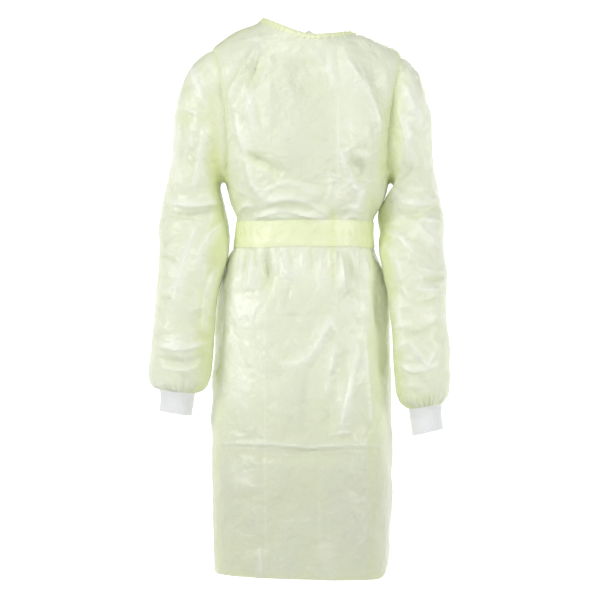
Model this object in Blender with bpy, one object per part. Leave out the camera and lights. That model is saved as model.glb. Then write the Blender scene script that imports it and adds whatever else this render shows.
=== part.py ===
"""An isolation gown, worn: hollow cloth walls in metres, +Z up, the front facing -Y.

The origin is the middle of the neckline's sides, where the wearer's shoulders hold the gown up.
+X is the wearer's left. Every wall is worked out from the tables of sections below.
"""

from typing import NamedTuple

import bmesh
import bpy
import numpy as np

# Cloth and seams
WALL = 0.0015
SEAM_GAP = 0.0003
REST_GAP = 0.00035

# Body of the gown
FRONT_COLUMNS = 24
BACK_COLUMNS = 24
LAP_COLUMNS = 3
ARMHOLE_ROWS = 12
ARMHOLE_FRONT = np.radians(23.0)
ARMHOLE_BACK = np.radians(33.0)
SIDE_RISE = 1.5
HEM_LIFT = 0.036
HEM_LIFT_FROM = np.radians(66.0)
HEM_LIFT_TO = np.radians(112.0)
HEM_LIFT_STATIONS = 1.6

# Folds
FOLD_FADE = 0.22
FOLD_TURN = 0.35

# Lap of the left back panel over the right one
LAP_RISE = 0.0024
LAP_RISE_AT_NECK = 0.0054
LAP_RAMP_COLUMNS = 3
LAP_NECK_STATIONS = 2.0

# Belt and neck binding
BELT_THICKNESS = 0.002
BINDING_THICKNESS = 0.0012

# Knots and ends of the ties at the back
BELT_KNOT = (0.046, 0.026, 0.036)
NECK_KNOT = (0.022, 0.012, 0.018)
KNOT_BEVEL = 0.35
KNOT_REACH = 0.4
KNOT_SEGMENTS = 3
TIE_ROWS = 9
TIE_RISE = 0.0125
TIE_SPREAD = 0.6
TIE_GAP = 0.0005
TIE_THICKNESS = 0.0015
TIE_WIDENS_OVER = 0.30
TIE_SETTLES_OVER = 0.50

# Sleeves and cuffs
SLEEVE_RINGS = 19
RING_FULLNESS = 0.9
CUFF_RIBS = 32
CUFF_ROWS = 2
RIB_HEIGHT = 0.0009
CUFF_WALL = 0.0018

LEFT = 1.0
RIGHT = -1.0


class Section(NamedTuple):
    """A level of the gown's body, with its heights at the centre front, the sides and the centre back.

    twist_deg turns the section about the upright axis. tilt lowers its left side and raises its right one.
    seam_deg is the side seam's angle from the centre front, and rows counts rows up to the next section.
    """

    name: str
    z_front: float
    z_side: float
    z_back: float
    half_width: float
    front_depth: float
    back_depth: float
    squareness: float
    shift: float
    twist_deg: float
    tilt: float
    seam_deg: float
    rows: int


# Columns: name, z_front, z_side, z_back, half_width, front_depth, back_depth, squareness,
# shift, twist_deg, tilt, seam_deg, rows
BODY = (
    Section("hem", -1.139, -1.140, -1.140, 0.1820, 0.1160, 0.120, 2.50, -0.003, -7.0, 0.0025, 57.0, 4),
    Section("knee", -0.985, -0.985, -0.985, 0.1855, 0.1180, 0.124, 2.50, -0.003, -7.0, 0.0010, 56.0, 4),
    Section("thigh", -0.800, -0.800, -0.800, 0.1870, 0.1190, 0.127, 2.45, -0.003, -7.0, 0.0, 55.0, 3),
    Section("seat", -0.680, -0.680, -0.680, 0.1860, 0.1180, 0.128, 2.35, -0.003, -6.5, 0.0, 55.0, 3),
    Section("hip", -0.580, -0.580, -0.580, 0.1820, 0.1160, 0.126, 2.30, -0.002, -5.5, 0.0, 58.0, 3),
    Section("high hip", -0.510, -0.510, -0.510, 0.1670, 0.1090, 0.117, 2.25, 0.000, -4.0, 0.0, 63.0, 2),
    Section("belt low", -0.463, -0.463, -0.463, 0.1460, 0.1010, 0.101, 2.20, 0.002, -2.0, 0.0, 68.0, 2),
    Section("belt high", -0.409, -0.409, -0.409, 0.1420, 0.0990, 0.098, 2.20, 0.004, 1.0, 0.0, 71.0, 1),
    Section("blouse", -0.383, -0.383, -0.383, 0.1520, 0.1080, 0.105, 2.25, 0.006, 3.0, 0.0, 75.0, 2),
    Section("underarm", -0.333, -0.333, -0.333, 0.1670, 0.1180, 0.112, 2.30, 0.008, 6.0, 0.0, 82.0, 0),
    Section("ribs", -0.275, -0.264, -0.268, 0.1810, 0.1250, 0.118, 2.35, 0.008, 7.0, 0.0, 83.0, 0),
    Section("bust", -0.219, -0.196, -0.205, 0.1920, 0.1230, 0.122, 2.40, 0.008, 7.0, 0.0, 82.0, 0),
    Section("chest", -0.166, -0.128, -0.144, 0.1980, 0.1130, 0.119, 2.40, 0.008, 7.0, 0.0015, 80.0, 0),
    Section("shoulder tip", -0.118, -0.065, -0.089, 0.1910, 0.0985, 0.107, 2.35, 0.007, 6.5, 0.0050, 78.0, 2),
    Section("shoulder", -0.078, -0.029, -0.050, 0.1490, 0.0860, 0.089, 2.20, 0.007, 6.0, 0.0085, 74.0, 2),
    Section("binding low", -0.042, -0.011, -0.026, 0.1085, 0.0775, 0.073, 2.05, 0.010, 5.0, 0.0122, 70.0, 1),
    Section("neckline", -0.026, -0.001, -0.012, 0.0940, 0.0705, 0.065, 2.00, 0.011, 5.0, 0.0143, 68.0, 0),
)


class Fold(NamedTuple):
    """A soft ridge (height above 0) or trough between two places seen from the front or the back."""

    name: str
    side: str
    x_from: float
    z_from: float
    x_to: float
    z_to: float
    width: float
    height: float


FOLDS = (
    Fold("drag fold from the right shoulder", "front", -0.086, -0.047, -0.150, -0.175, 0.011, 0.0075),
    Fold("hollow beside that fold", "front", -0.077, -0.064, -0.112, -0.175, 0.013, -0.0070),
    Fold("second right bodice fold", "front", -0.105, -0.134, -0.085, -0.250, 0.012, 0.0040),
    Fold("ridge from the left shoulder", "front", 0.095, -0.080, 0.162, -0.220, 0.016, 0.0065),
    Fold("hollow outside that ridge", "front", 0.147, -0.105, 0.170, -0.175, 0.014, -0.0045),
    Fold("hollow under the left bust", "front", 0.108, -0.262, 0.122, -0.340, 0.020, -0.0110),
    Fold("ridge under that hollow", "front", 0.086, -0.257, 0.106, -0.372, 0.012, 0.0050),
    Fold("hollow under the right bust", "front", -0.122, -0.268, -0.028, -0.316, 0.016, -0.0080),
    Fold("blouse above the belt", "front", -0.096, -0.405, 0.066, -0.402, 0.012, 0.0080),
    Fold("upper blouse roll", "front", -0.086, -0.368, 0.050, -0.360, 0.012, 0.0055),
    Fold("trough between the rolls", "front", -0.090, -0.387, 0.062, -0.382, 0.010, -0.0050),
    Fold("wide gather at the right", "front", -0.066, -0.475, -0.063, -0.560, 0.011, -0.0070),
    Fold("gather left of it", "front", -0.096, -0.475, -0.102, -0.555, 0.010, 0.0045),
    Fold("gather at the middle", "front", -0.034, -0.475, -0.012, -0.540, 0.012, 0.0050),
    Fold("gather at the left", "front", 0.084, -0.475, 0.096, -0.570, 0.011, 0.0055),
    Fold("gather beside the left seam", "front", 0.117, -0.475, 0.132, -0.570, 0.011, -0.0055),
    Fold("skirt drape to the middle", "front", 0.066, -0.602, 0.016, -0.705, 0.016, 0.0050),
    Fold("skirt drape at the left", "front", 0.077, -0.650, 0.056, -0.780, 0.014, 0.0045),
    Fold("long skirt drape", "front", 0.122, -0.650, 0.084, -0.850, 0.016, 0.0060),
    Fold("hollow beside the long drape", "front", 0.100, -0.670, 0.062, -0.850, 0.014, -0.0045),
    Fold("left skirt edge drape", "front", 0.137, -0.660, 0.149, -0.850, 0.012, 0.0040),
    Fold("dent by the left forearm", "front", 0.164, -0.480, 0.174, -0.740, 0.016, -0.0110),
    Fold("dent by the right forearm", "front", -0.170, -0.480, -0.184, -0.720, 0.016, -0.0130),
    Fold("packing fold across the front", "front", -0.152, -0.868, 0.156, -0.870, 0.011, 0.0050),
    Fold("shadow line under it", "front", -0.125, -0.889, 0.125, -0.887, 0.013, -0.0035),
    Fold("pleat at the hem", "front", -0.076, -1.080, -0.077, -1.170, 0.012, 0.0070),
    Fold("shoulder blade drape left", "back", 0.105, -0.120, 0.085, -0.330, 0.018, 0.0060),
    Fold("shoulder blade drape right", "back", -0.110, -0.110, -0.080, -0.330, 0.018, 0.0065),
    Fold("middle back hollow", "back", 0.020, -0.200, 0.010, -0.370, 0.022, -0.0060),
    Fold("back blouse roll", "back", -0.090, -0.390, 0.100, -0.384, 0.012, 0.0070),
    Fold("back gather left", "back", 0.060, -0.475, 0.085, -0.640, 0.013, 0.0060),
    Fold("back gather middle", "back", 0.012, -0.475, 0.025, -0.660, 0.014, -0.0060),
    Fold("back gather right", "back", -0.065, -0.475, -0.082, -0.620, 0.013, 0.0065),
    Fold("back gather near the right seam", "back", -0.105, -0.475, -0.125, -0.580, 0.012, -0.0050),
    Fold("back skirt drape left", "back", 0.110, -0.640, 0.090, -1.020, 0.020, 0.0060),
    Fold("back skirt drape right", "back", -0.120, -0.600, -0.105, -0.950, 0.020, 0.0055),
    Fold("packing fold across the back", "back", -0.150, -0.868, 0.150, -0.868, 0.011, 0.0045),
)


class Ring(NamedTuple):
    """A ring of a sleeve: its outer and inner point seen from the front, and its depth."""

    name: str
    x_outer: float
    z_outer: float
    x_inner: float
    z_inner: float
    y_middle: float
    half_depth: float


SLEEVE_LEFT = (
    Ring("cap", 0.2140, -0.0715, 0.1810, -0.3285, 0.014, 0.074),
    Ring("shoulder", 0.2415, -0.1010, 0.1865, -0.3330, 0.014, 0.079),
    Ring("below the shoulder", 0.2615, -0.1580, 0.1850, -0.3440, 0.018, 0.078),
    Ring("upper arm", 0.2670, -0.2350, 0.1700, -0.3620, 0.028, 0.074),
    Ring("above the elbow", 0.2750, -0.3200, 0.1535, -0.3960, 0.038, 0.069),
    Ring("elbow", 0.2905, -0.3950, 0.1590, -0.4330, 0.022, 0.067),
    Ring("below the elbow", 0.2935, -0.4700, 0.1590, -0.4720, -0.012, 0.066),
    Ring("forearm", 0.2985, -0.5450, 0.1760, -0.5480, -0.048, 0.063),
    Ring("middle forearm", 0.3020, -0.6200, 0.1870, -0.6200, -0.060, 0.059),
    Ring("low forearm", 0.3070, -0.6900, 0.1910, -0.6920, -0.064, 0.056),
    Ring("puff", 0.3050, -0.7520, 0.1970, -0.7580, -0.066, 0.051),
    Ring("puff turn", 0.2980, -0.7740, 0.2085, -0.7830, -0.066, 0.043),
    Ring("cuff seam", 0.2895, -0.7837, 0.2235, -0.7937, -0.066, 0.030),
)

SLEEVE_RIGHT = (
    Ring("cap", 0.2040, -0.0630, 0.1625, -0.3285, -0.024, 0.073),
    Ring("shoulder", 0.2340, -0.0930, 0.1690, -0.3330, -0.022, 0.078),
    Ring("below the shoulder", 0.2585, -0.1500, 0.1700, -0.3440, -0.018, 0.077),
    Ring("upper arm", 0.2700, -0.2350, 0.1660, -0.3640, -0.010, 0.074),
    Ring("above the elbow", 0.2790, -0.3150, 0.1590, -0.3950, -0.004, 0.070),
    Ring("elbow", 0.2955, -0.3850, 0.1540, -0.4330, -0.004, 0.068),
    Ring("below the elbow", 0.2970, -0.4700, 0.1530, -0.4780, -0.034, 0.066),
    Ring("forearm", 0.2970, -0.5450, 0.1680, -0.5480, -0.058, 0.062),
    Ring("middle forearm", 0.3025, -0.6150, 0.1765, -0.6180, -0.066, 0.058),
    Ring("low forearm", 0.3095, -0.6800, 0.1800, -0.6840, -0.068, 0.055),
    Ring("puff", 0.3090, -0.7300, 0.1860, -0.7340, -0.068, 0.050),
    Ring("puff turn", 0.2985, -0.7490, 0.1990, -0.7560, -0.067, 0.042),
    Ring("cuff seam", 0.2890, -0.7553, 0.2180, -0.7630, -0.067, 0.030),
)

CUFF_LEFT_END = Ring("cuff end", 0.2920, -0.8345, 0.2305, -0.8485, -0.067, 0.027)
CUFF_RIGHT_END = Ring("cuff end", 0.2905, -0.7995, 0.2250, -0.8095, -0.068, 0.027)


class Tie(NamedTuple):
    """A tie's free end on the back: its side, where it runs from and to, and its widths.

    Its stations are those of the body, and its degrees are counted from the centre back.
    """

    name: str
    side: float
    station_from: float
    station_to: float
    degrees_from: float
    degrees_to: float
    width_from: float
    width: float


BELT_TIES = (
    Tie("belt_tail_left", LEFT, 6.10, 2.20, 3.8, 13.0, 0.011, 0.040),
    Tie("belt_tail_right", RIGHT, 6.10, 2.70, 3.8, 16.0, 0.011, 0.040),
)
NECK_TIES = (
    Tie("neck_tie_left", LEFT, 15.10, 12.40, 2.0, 9.0, 0.005, 0.010),
    Tie("neck_tie_right", RIGHT, 15.10, 12.80, 2.0, 12.0, 0.005, 0.010),
)


class Finish(NamedTuple):
    """Colour and surface of a piece's material."""

    colour: tuple
    roughness: float


CLOTH = Finish((0.86, 0.90, 0.68, 1.0), 0.42)
DOUBLED_CLOTH = Finish((0.82, 0.89, 0.50, 1.0), 0.42)
KNIT = Finish((0.93, 0.94, 0.95, 1.0), 0.85)


def clear_scene():
    """Removes the objects of the scene that is open."""
    for old in list(bpy.data.objects):
        bpy.data.objects.remove(old, do_unlink=True)


def station(name):
    """Place of a named section in the body's table."""
    return [section.name for section in BODY].index(name)


def through(values, at):
    """Smooth curve through values at 0, 1, 2 and so on: a natural cubic spline."""
    values = np.asarray(values, dtype=float)
    count = len(values)
    at = np.clip(np.asarray(at, dtype=float), 0.0, count - 1.0)
    flat = values.reshape(count, -1)
    links = 4.0 * np.eye(count) + np.eye(count, k=1) + np.eye(count, k=-1)
    links[0, 1] = links[-1, -2] = 0.0
    bend = np.zeros_like(flat)
    bend[1:-1] = 6.0 * (flat[:-2] - 2.0 * flat[1:-1] + flat[2:])
    bend = np.linalg.solve(links, bend).reshape(values.shape)
    low = np.minimum(at.astype(int), count - 2)
    share = (at - low).reshape(at.shape + (1,) * (values.ndim - 1))
    rest = 1.0 - share
    line = rest * values[low] + share * values[low + 1]
    return line + ((rest**3 - rest) * bend[low] + (share**3 - share) * bend[low + 1]) / 6.0


def ease(value, start, end):
    """Rises smoothly from 0 at start to 1 at end."""
    share = np.clip((value - start) / (end - start), 0.0, 1.0)
    return share * share * (3.0 - 2.0 * share)


def column(name, at):
    """A named column of the body's table, read at fractional stations."""
    return through([getattr(section, name) for section in BODY], at)


def signed_power(value, power):
    """Power of the size, with the sign kept."""
    return np.sign(value) * np.abs(value) ** power


def fold_height(x, z, side):
    """Sum of the folds of one side at points seen from the front or the back."""
    total = np.zeros_like(x)
    for fold in FOLDS:
        if fold.side != side:
            continue
        along = np.array([fold.x_to - fold.x_from, fold.z_to - fold.z_from])
        length = np.hypot(*along)
        along /= length
        from_start = (x - fold.x_from) * along[0] + (z - fold.z_from) * along[1]
        across = (z - fold.z_from) * along[0] - (x - fold.x_from) * along[1]
        fade = FOLD_FADE * length
        ends = ease(from_start, -fade, fade) * ease(length - from_start, -fade, fade)
        total += fold.height * ends * np.exp(-((across / fold.width) ** 2))
    return total


def plain_body(at, angle):
    """Points of the gown's body without its folds.

    at counts stations up from the hem. angle goes round from the centre front, by way of the wearer's left.
    """
    side, front = np.sin(angle), np.cos(angle)
    power = 2.0 / column("squareness", at)
    depth = np.where(front > 0.0, column("front_depth", at), column("back_depth", at))
    x = column("half_width", at) * signed_power(side, power)
    y = -depth * signed_power(front, power)
    middle = np.where(front > 0.0, column("z_front", at), column("z_back", at))
    to_side = np.abs(side) ** SIDE_RISE
    z = column("z_side", at) * to_side + middle * (1.0 - to_side) - column("tilt", at) * side
    turned = np.abs(np.arctan2(side, front))
    z += HEM_LIFT * ease(turned, HEM_LIFT_FROM, HEM_LIFT_TO) * (1.0 - ease(at, 0.0, HEM_LIFT_STATIONS))
    twist = np.radians(column("twist_deg", at))
    turned_x = x * np.cos(twist) - y * np.sin(twist) + column("shift", at)
    turned_y = x * np.sin(twist) + y * np.cos(twist)
    return np.stack([turned_x, turned_y, z], axis=-1)


def normals_of(surface, at, angle):
    """Outward unit normals of a surface of stations and angles."""
    small = 1e-4
    up = surface(at + small, angle) - surface(at - small, angle)
    round_it = surface(at, angle + small) - surface(at, angle - small)
    normal = np.cross(round_it, up)
    return normal / np.linalg.norm(normal, axis=-1, keepdims=True)


def inside_table(at):
    """Keeps stations just inside the body's table, so that slopes can be read there."""
    return np.clip(at, 2e-4, len(BODY) - 1.0 - 2e-4)


def folded_body(at, angle):
    """Points of the gown's body with its folds."""
    at = np.broadcast_to(at, np.broadcast(at, angle).shape)
    points = plain_body(at, angle)
    normal = normals_of(plain_body, inside_table(at), angle)
    facing_front = ease(np.cos(angle), 0.0, FOLD_TURN)
    facing_back = ease(-np.cos(angle), 0.0, FOLD_TURN)
    height = facing_front * fold_height(points[..., 0], points[..., 2], "front")
    height += facing_back * fold_height(points[..., 0], points[..., 2], "back")
    return points + normal * height[..., None]


def armhole_stations():
    """Stations up an armhole, closer together at its two ends."""
    low, high = station("underarm"), station("shoulder tip")
    turn = np.pi * np.arange(ARMHOLE_ROWS + 1) / ARMHOLE_ROWS
    return low + (high - low) * 0.5 * (1.0 - np.cos(turn))


def body_rows():
    """Stations of the walls' rows: even steps between sections, and an armhole's own steps beside it."""
    rows = []
    for place, section in enumerate(BODY[:-1]):
        rows.extend(place + np.arange(section.rows) / max(section.rows, 1))
        if place == station("underarm"):
            rows.extend(armhole_stations()[:-1])
    rows.append(len(BODY) - 1.0)
    return np.array(rows)


def armhole_arch(at):
    """How far the armhole is open at a station: 0 at its ends and 1 in its middle."""
    low, high = station("underarm"), station("shoulder tip")
    share = np.clip((at - low) / (high - low), 0.0, 1.0)
    return 2.0 * np.sqrt(share * (1.0 - share))


def edge_angles(at):
    """Angles where the front panel ends and the back panels begin, on the wearer's left."""
    seam = np.radians(column("seam_deg", at))
    arch = armhole_arch(at)
    return seam - ARMHOLE_FRONT * arch, seam + ARMHOLE_BACK * arch


def half_gap_angle(at, angle):
    """Angle that covers half of a seam's gap on the surface."""
    small = 1e-3
    length = np.linalg.norm(plain_body(at, angle + small) - plain_body(at, angle - small), axis=-1)
    return 0.5 * SEAM_GAP * 2.0 * small / length


def panel_grid(at, angles, rise=None):
    """Outer points, inner points and normals of a panel, rows up and columns round."""
    at = at[:, None] + np.zeros_like(angles)
    outer = folded_body(at, angles)
    normal = normals_of(folded_body, inside_table(at), angles)
    if rise is not None:
        outer = outer + normal * rise[..., None]
    return outer, outer - normal * WALL, normal


def front_grid(at):
    """Grid of the front panel between its side seams, armholes and shoulder seams."""
    left_edge, _ = edge_angles(at)
    left = left_edge - half_gap_angle(at, left_edge)
    right = -(left_edge - half_gap_angle(at, -left_edge))
    share = np.linspace(0.0, 1.0, FRONT_COLUMNS + 1)
    return panel_grid(at, right[:, None] + (left - right)[:, None] * share)


def back_angles(at):
    """Angles of all the back's columns, from the wearer's left seam round to the right one."""
    _, left_edge = edge_angles(at)
    left = left_edge + half_gap_angle(at, left_edge)
    right = 2.0 * np.pi - (left_edge + half_gap_angle(at, -left_edge))
    share = np.linspace(0.0, 1.0, BACK_COLUMNS + 1)
    return left[:, None] + (right - left)[:, None] * share


def lap_rise(at, columns):
    """How far the left back panel stands out over the right one."""
    start = BACK_COLUMNS // 2 - LAP_COLUMNS
    ramp = ease(columns, start - LAP_RAMP_COLUMNS, start)
    near_neck = ease(at, len(BODY) - 1.0 - LAP_NECK_STATIONS, station("binding low"))
    height = LAP_RISE + (LAP_RISE_AT_NECK - LAP_RISE) * near_neck
    return height[:, None] * ramp[None, :]


def back_left_grid(at):
    """Grid of the left back panel, which laps over the right one."""
    columns = np.arange(BACK_COLUMNS // 2 + LAP_COLUMNS + 1)
    return panel_grid(at, back_angles(at)[:, columns], lap_rise(at, columns))


def back_right_grid(at):
    """Grid of the right back panel, under the left one."""
    columns = np.arange(BACK_COLUMNS // 2 - LAP_COLUMNS, BACK_COLUMNS + 1)
    return panel_grid(at, back_angles(at)[:, columns])


def quads_to_triangles(grid, rows, columns, wrap, offset):
    """Triangles of a grid of points, cut along each square's shorter diagonal."""
    low, left = np.meshgrid(np.arange(rows - 1), np.arange(columns if wrap else columns - 1), indexing="ij")
    right = (left + 1) % columns
    a, b = low * columns + left, low * columns + right
    c, d = (low + 1) * columns + right, (low + 1) * columns + left
    flat = grid.reshape(-1, 3)
    first = np.linalg.norm(flat[a] - flat[c], axis=-1) <= np.linalg.norm(flat[b] - flat[d], axis=-1)
    one = np.where(first[..., None], np.stack([a, b, c], -1), np.stack([a, b, d], -1))
    two = np.where(first[..., None], np.stack([a, c, d], -1), np.stack([b, c, d], -1))
    return np.concatenate([one.reshape(-1, 3), two.reshape(-1, 3)]) + offset


def strip(outer_line, inner_line, wrap):
    """Triangles that close a wall's edge between two lines of point numbers."""
    outer_next, inner_next = np.roll(outer_line, -1), np.roll(inner_line, -1)
    last = None if wrap else -1
    a, b = outer_line[:last], outer_next[:last]
    c, d = inner_next[:last], inner_line[:last]
    return np.concatenate([np.stack([a, c, b], -1), np.stack([a, d, c], -1)])


def build_mesh(name, points, triangles, finish):
    """A closed object from points and triangles, its faces turned outward."""
    mesh = bpy.data.meshes.new(name)
    mesh.from_pydata(points.tolist(), [], triangles.tolist())
    shape = bmesh.new()
    shape.from_mesh(mesh)
    bmesh.ops.recalc_face_normals(shape, faces=shape.faces)
    shape.to_mesh(mesh)
    shape.free()
    mesh.shade_smooth()
    return add_object(name, mesh, finish)


def add_object(name, mesh, finish):
    """Puts a mesh into the scene with a material of its own."""
    made = bpy.data.objects.new(name, mesh)
    bpy.context.scene.collection.objects.link(made)
    material = bpy.data.materials.new(f"{name} material")
    material.use_nodes = True
    shader = material.node_tree.nodes["Principled BSDF"]
    shader.inputs["Base Color"].default_value = finish.colour
    shader.inputs["Roughness"].default_value = finish.roughness
    shader.inputs["Metallic"].default_value = 0.0
    mesh.materials.append(material)
    return made


def build_wall(name, outer, inner, wrap, finish):
    """A closed wall between an outer and an inner grid of points. wrap joins the last column to the first."""
    rows, columns = outer.shape[:2]
    count = rows * columns
    numbers = np.arange(count).reshape(rows, columns)
    skins = [
        quads_to_triangles(outer, rows, columns, wrap, 0),
        quads_to_triangles(outer, rows, columns, wrap, count)[:, ::-1],
        strip(numbers[0], numbers[0] + count, wrap),
        strip(numbers[-1], numbers[-1] + count, wrap),
    ]
    if not wrap:
        skins += [strip(numbers[:, edge], numbers[:, edge] + count, False) for edge in (0, -1)]
    points = np.concatenate([outer.reshape(-1, 3), inner.reshape(-1, 3)])
    return build_mesh(name, points, np.concatenate(skins), finish)


def around_body(grids, rows):
    """Outer points, inner points and normals of chosen rows, once round the gown.

    Each comes in three stretches: the right back panel from its free edge, the front and the left back panel.
    """
    front, back_left, back_right = grids
    lines = []
    for part in range(3):
        under = back_right[part][rows][:, :-1]
        lines.append((under, front[part][rows], back_left[part][rows][:, 1:]))
    return lines


def seat_on(patch, normals):
    """A flat seat over a small patch of rows and columns: its middle point, and the way it faces.

    Only the inner share of the patch, KNOT_REACH of it, lies under a knot and holds the seat up.
    """
    facing = normals.mean(axis=0)
    facing /= np.linalg.norm(facing)
    middle_row, middle_column = patch.shape[0] // 2, patch.shape[1] // 2
    middle = patch[middle_row, middle_column]
    if len(patch) == 2:
        middle = patch[:, middle_column].mean(axis=0)
    under = (patch - middle) * KNOT_REACH
    return middle + facing * max((under @ facing).max(), 0.0), facing


def build_belt(grids, at):
    """The waist belt, a closed band that lies on the panels between the two belt sections."""
    rows = np.flatnonzero((at >= station("belt low")) & (at <= station("belt high")))
    bands = []
    for under, front, over in around_body(grids, rows):
        bands.append(np.concatenate([front, over, under[:, 2 * LAP_COLUMNS + 1 :]], axis=1))
    outer, _, normal = bands
    inside = outer + normal * REST_GAP
    outside = outer + normal * (REST_GAP + BELT_THICKNESS)
    build_wall("waist_belt", outside, inside, True, DOUBLED_CLOTH)
    middle = FRONT_COLUMNS + BACK_COLUMNS // 2
    return seat_on(outside[:, middle - 1 : middle + 2], normal[:, middle])


def build_binding(grids, at):
    """The neck binding: a strip folded over the neckline's edge, open at the centre back."""
    rows = np.flatnonzero(at >= station("binding low"))
    low, high = rows[0], rows[-1]
    outer, inner, normal = (np.concatenate(line, axis=1) for line in around_body(grids, [low, high]))
    up = outer[1] - outer[0]
    up /= np.linalg.norm(up, axis=-1, keepdims=True)
    near, far = SEAM_GAP, SEAM_GAP + BINDING_THICKNESS
    profile = (
        outer[0] + near * normal[0],
        outer[0] + far * normal[0],
        outer[1] + far * (normal[1] + up),
        inner[1] - far * (normal[1] - up),
        inner[0] - far * normal[0],
        inner[0] - near * normal[0],
        inner[1] - near * (normal[1] - up),
        outer[1] + near * (normal[1] + up),
    )
    ring = np.stack(profile, axis=1)
    stations, corners = ring.shape[:2]
    sides = quads_to_triangles(ring, stations, corners, True, 0)
    caps = []
    for start in (0, (stations - 1) * corners):
        caps += [[start + a, start + b, start + c] for a, b, c in binding_cap()]
    build_mesh("neck_binding", ring.reshape(-1, 3), np.concatenate([sides, np.array(caps)]), DOUBLED_CLOTH)
    middle = BACK_COLUMNS // 2 + LAP_COLUMNS + FRONT_COLUMNS + BACK_COLUMNS // 2
    return seat_on(ring[middle - 1 : middle + 2, 1:3].swapaxes(0, 1), normal[:, middle])


def binding_cap():
    """Triangles of the binding's cut end: its outer leaf, its fold and its inner leaf."""
    return ((0, 1, 2), (0, 2, 7), (7, 2, 3), (7, 3, 6), (6, 3, 4), (6, 4, 5))


def build_knot(name, size, seat, facing):
    """A rounded knot, its flat back just off its seat. Gives its axes and the middle of its underside."""
    across = np.cross(facing, (0.0, 0.0, 1.0))
    across /= np.linalg.norm(across)
    up = np.cross(across, facing)
    axes = np.stack([across, facing, up])
    centre = seat + facing * (REST_GAP + 0.5 * size[1])
    mesh = bpy.data.meshes.new(name)
    shape = bmesh.new()
    bmesh.ops.create_cube(shape, size=1.0)
    bmesh.ops.scale(shape, vec=size, verts=shape.verts)
    rounding = KNOT_BEVEL * min(size)
    edges = shape.edges[:]
    bmesh.ops.bevel(shape, geom=edges, offset=rounding, segments=KNOT_SEGMENTS, profile=0.5, affect="EDGES")
    for vertex in shape.verts:
        vertex.co = np.array(vertex.co) @ axes + centre
    bmesh.ops.recalc_face_normals(shape, faces=shape.faces)
    shape.to_mesh(mesh)
    shape.free()
    mesh.shade_smooth()
    add_object(name, mesh, DOUBLED_CLOTH)
    return axes, centre - up * (0.5 * size[2] + TIE_GAP)


def build_tie(tie, axes, under_knot):
    """A tie's free end, which leaves the underside of its knot and hangs just off the back."""
    share = np.linspace(0.0, 1.0, TIE_ROWS)
    at = tie.station_from + (tie.station_to - tie.station_from) * share
    degrees = tie.degrees_from + (tie.degrees_to - tie.degrees_from) * share
    angle = np.radians(180.0 - tie.side * degrees)
    normal = normals_of(plain_body, at, angle)
    middle = plain_body(at, angle) + normal * TIE_RISE
    width = tie.width_from + (tie.width - tie.width_from) * ease(share, 0.0, TIE_WIDENS_OVER)
    settled = ease(share, 0.0, TIE_SETTLES_OVER)[:, None]
    beside = tie.side * TIE_SPREAD * tie.width_from * np.array([1.0, 0.0, 0.0])
    middle += (under_knot + beside - middle[0]) * (1.0 - settled)
    facing = axes[1] * (1.0 - settled) + normal * settled
    facing /= np.linalg.norm(facing, axis=-1, keepdims=True)
    across = np.cross(facing, np.gradient(middle, axis=0))
    across[0] = axes[0] * np.sign((axes[0] * across[0]).sum())
    across /= np.linalg.norm(across, axis=-1, keepdims=True)
    reach = 0.5 * width[:, None] * across
    inner = np.stack([middle - reach, middle + reach], axis=1) - 0.5 * TIE_THICKNESS * facing[:, None]
    build_wall(tie.name, inner + TIE_THICKNESS * facing[:, None], inner, False, DOUBLED_CLOTH)


def armhole_loop(side):
    """Outer and inner points of the sleeve's first ring, a seam's gap inside the armhole's edge.

    The ring starts under the arm, goes up the front edge to the shoulder seam and comes down the back edge.
    """
    at = armhole_stations()
    front, back = edge_angles(at)
    at = np.concatenate([at, at[-2:0:-1]])
    angle = side * np.concatenate([front, back[-2:0:-1]])
    edge = folded_body(at, angle)
    normal = normals_of(folded_body, at, angle)
    along = np.roll(edge, -1, axis=0) - np.roll(edge, 1, axis=0)
    into = np.cross(along, normal)
    into /= np.linalg.norm(into, axis=-1, keepdims=True)
    centre = edge.mean(axis=0)
    into *= np.sign(((centre - edge) * into).sum(axis=-1, keepdims=True))
    outer = edge + into * SEAM_GAP
    return outer, outer - normal * WALL


def ring_points(ring, side, turn):
    """Points of a sleeve's ring. turn runs from 0 under the arm, by the front, to half a turn at the top."""
    inner = np.array([side * ring.x_inner, ring.y_middle, ring.z_inner])
    outer = np.array([side * ring.x_outer, ring.y_middle, ring.z_outer])
    share = 0.5 * (1.0 - np.cos(turn))
    points = inner + (outer - inner) * share[:, None]
    points[:, 1] -= ring.half_depth * signed_power(np.sin(turn), RING_FULLNESS)
    return points


def sleeve_grid(side, table):
    """Outer and inner points of a sleeve, from armhole to cuff. Both sleeves turn the same way round."""
    first_outer, first_inner = armhole_loop(side)
    count = len(first_outer)
    turn = 2.0 * np.pi * np.arange(count) / count
    knots = np.stack([first_outer] + [ring_points(ring, side, turn) for ring in table])
    at = np.linspace(0.0, len(knots) - 1.0, SLEEVE_RINGS)
    outer = through(knots, at)
    down = np.gradient(outer, axis=0)
    around = np.roll(outer, -1, axis=1) - np.roll(outer, 1, axis=1)
    normal = np.cross(around, down) * side
    normal /= np.linalg.norm(normal, axis=-1, keepdims=True)
    away = outer - outer.mean(axis=1, keepdims=True)
    normal *= np.sign((normal * away).sum(axis=-1).mean())
    inner = outer - normal * WALL
    inner[0] = first_inner
    order = int(side)
    return outer[:, ::order], inner[:, ::order]


def cuff_ring(ring, side, turn, height):
    """A ring of a cuff, moved out by a height that changes round it."""
    points = ring_points(ring, side, turn)
    away = points - points.mean(axis=0)
    away[:, 2] = 0.0
    away /= np.linalg.norm(away, axis=-1, keepdims=True)
    return points + away * height[:, None]


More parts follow.
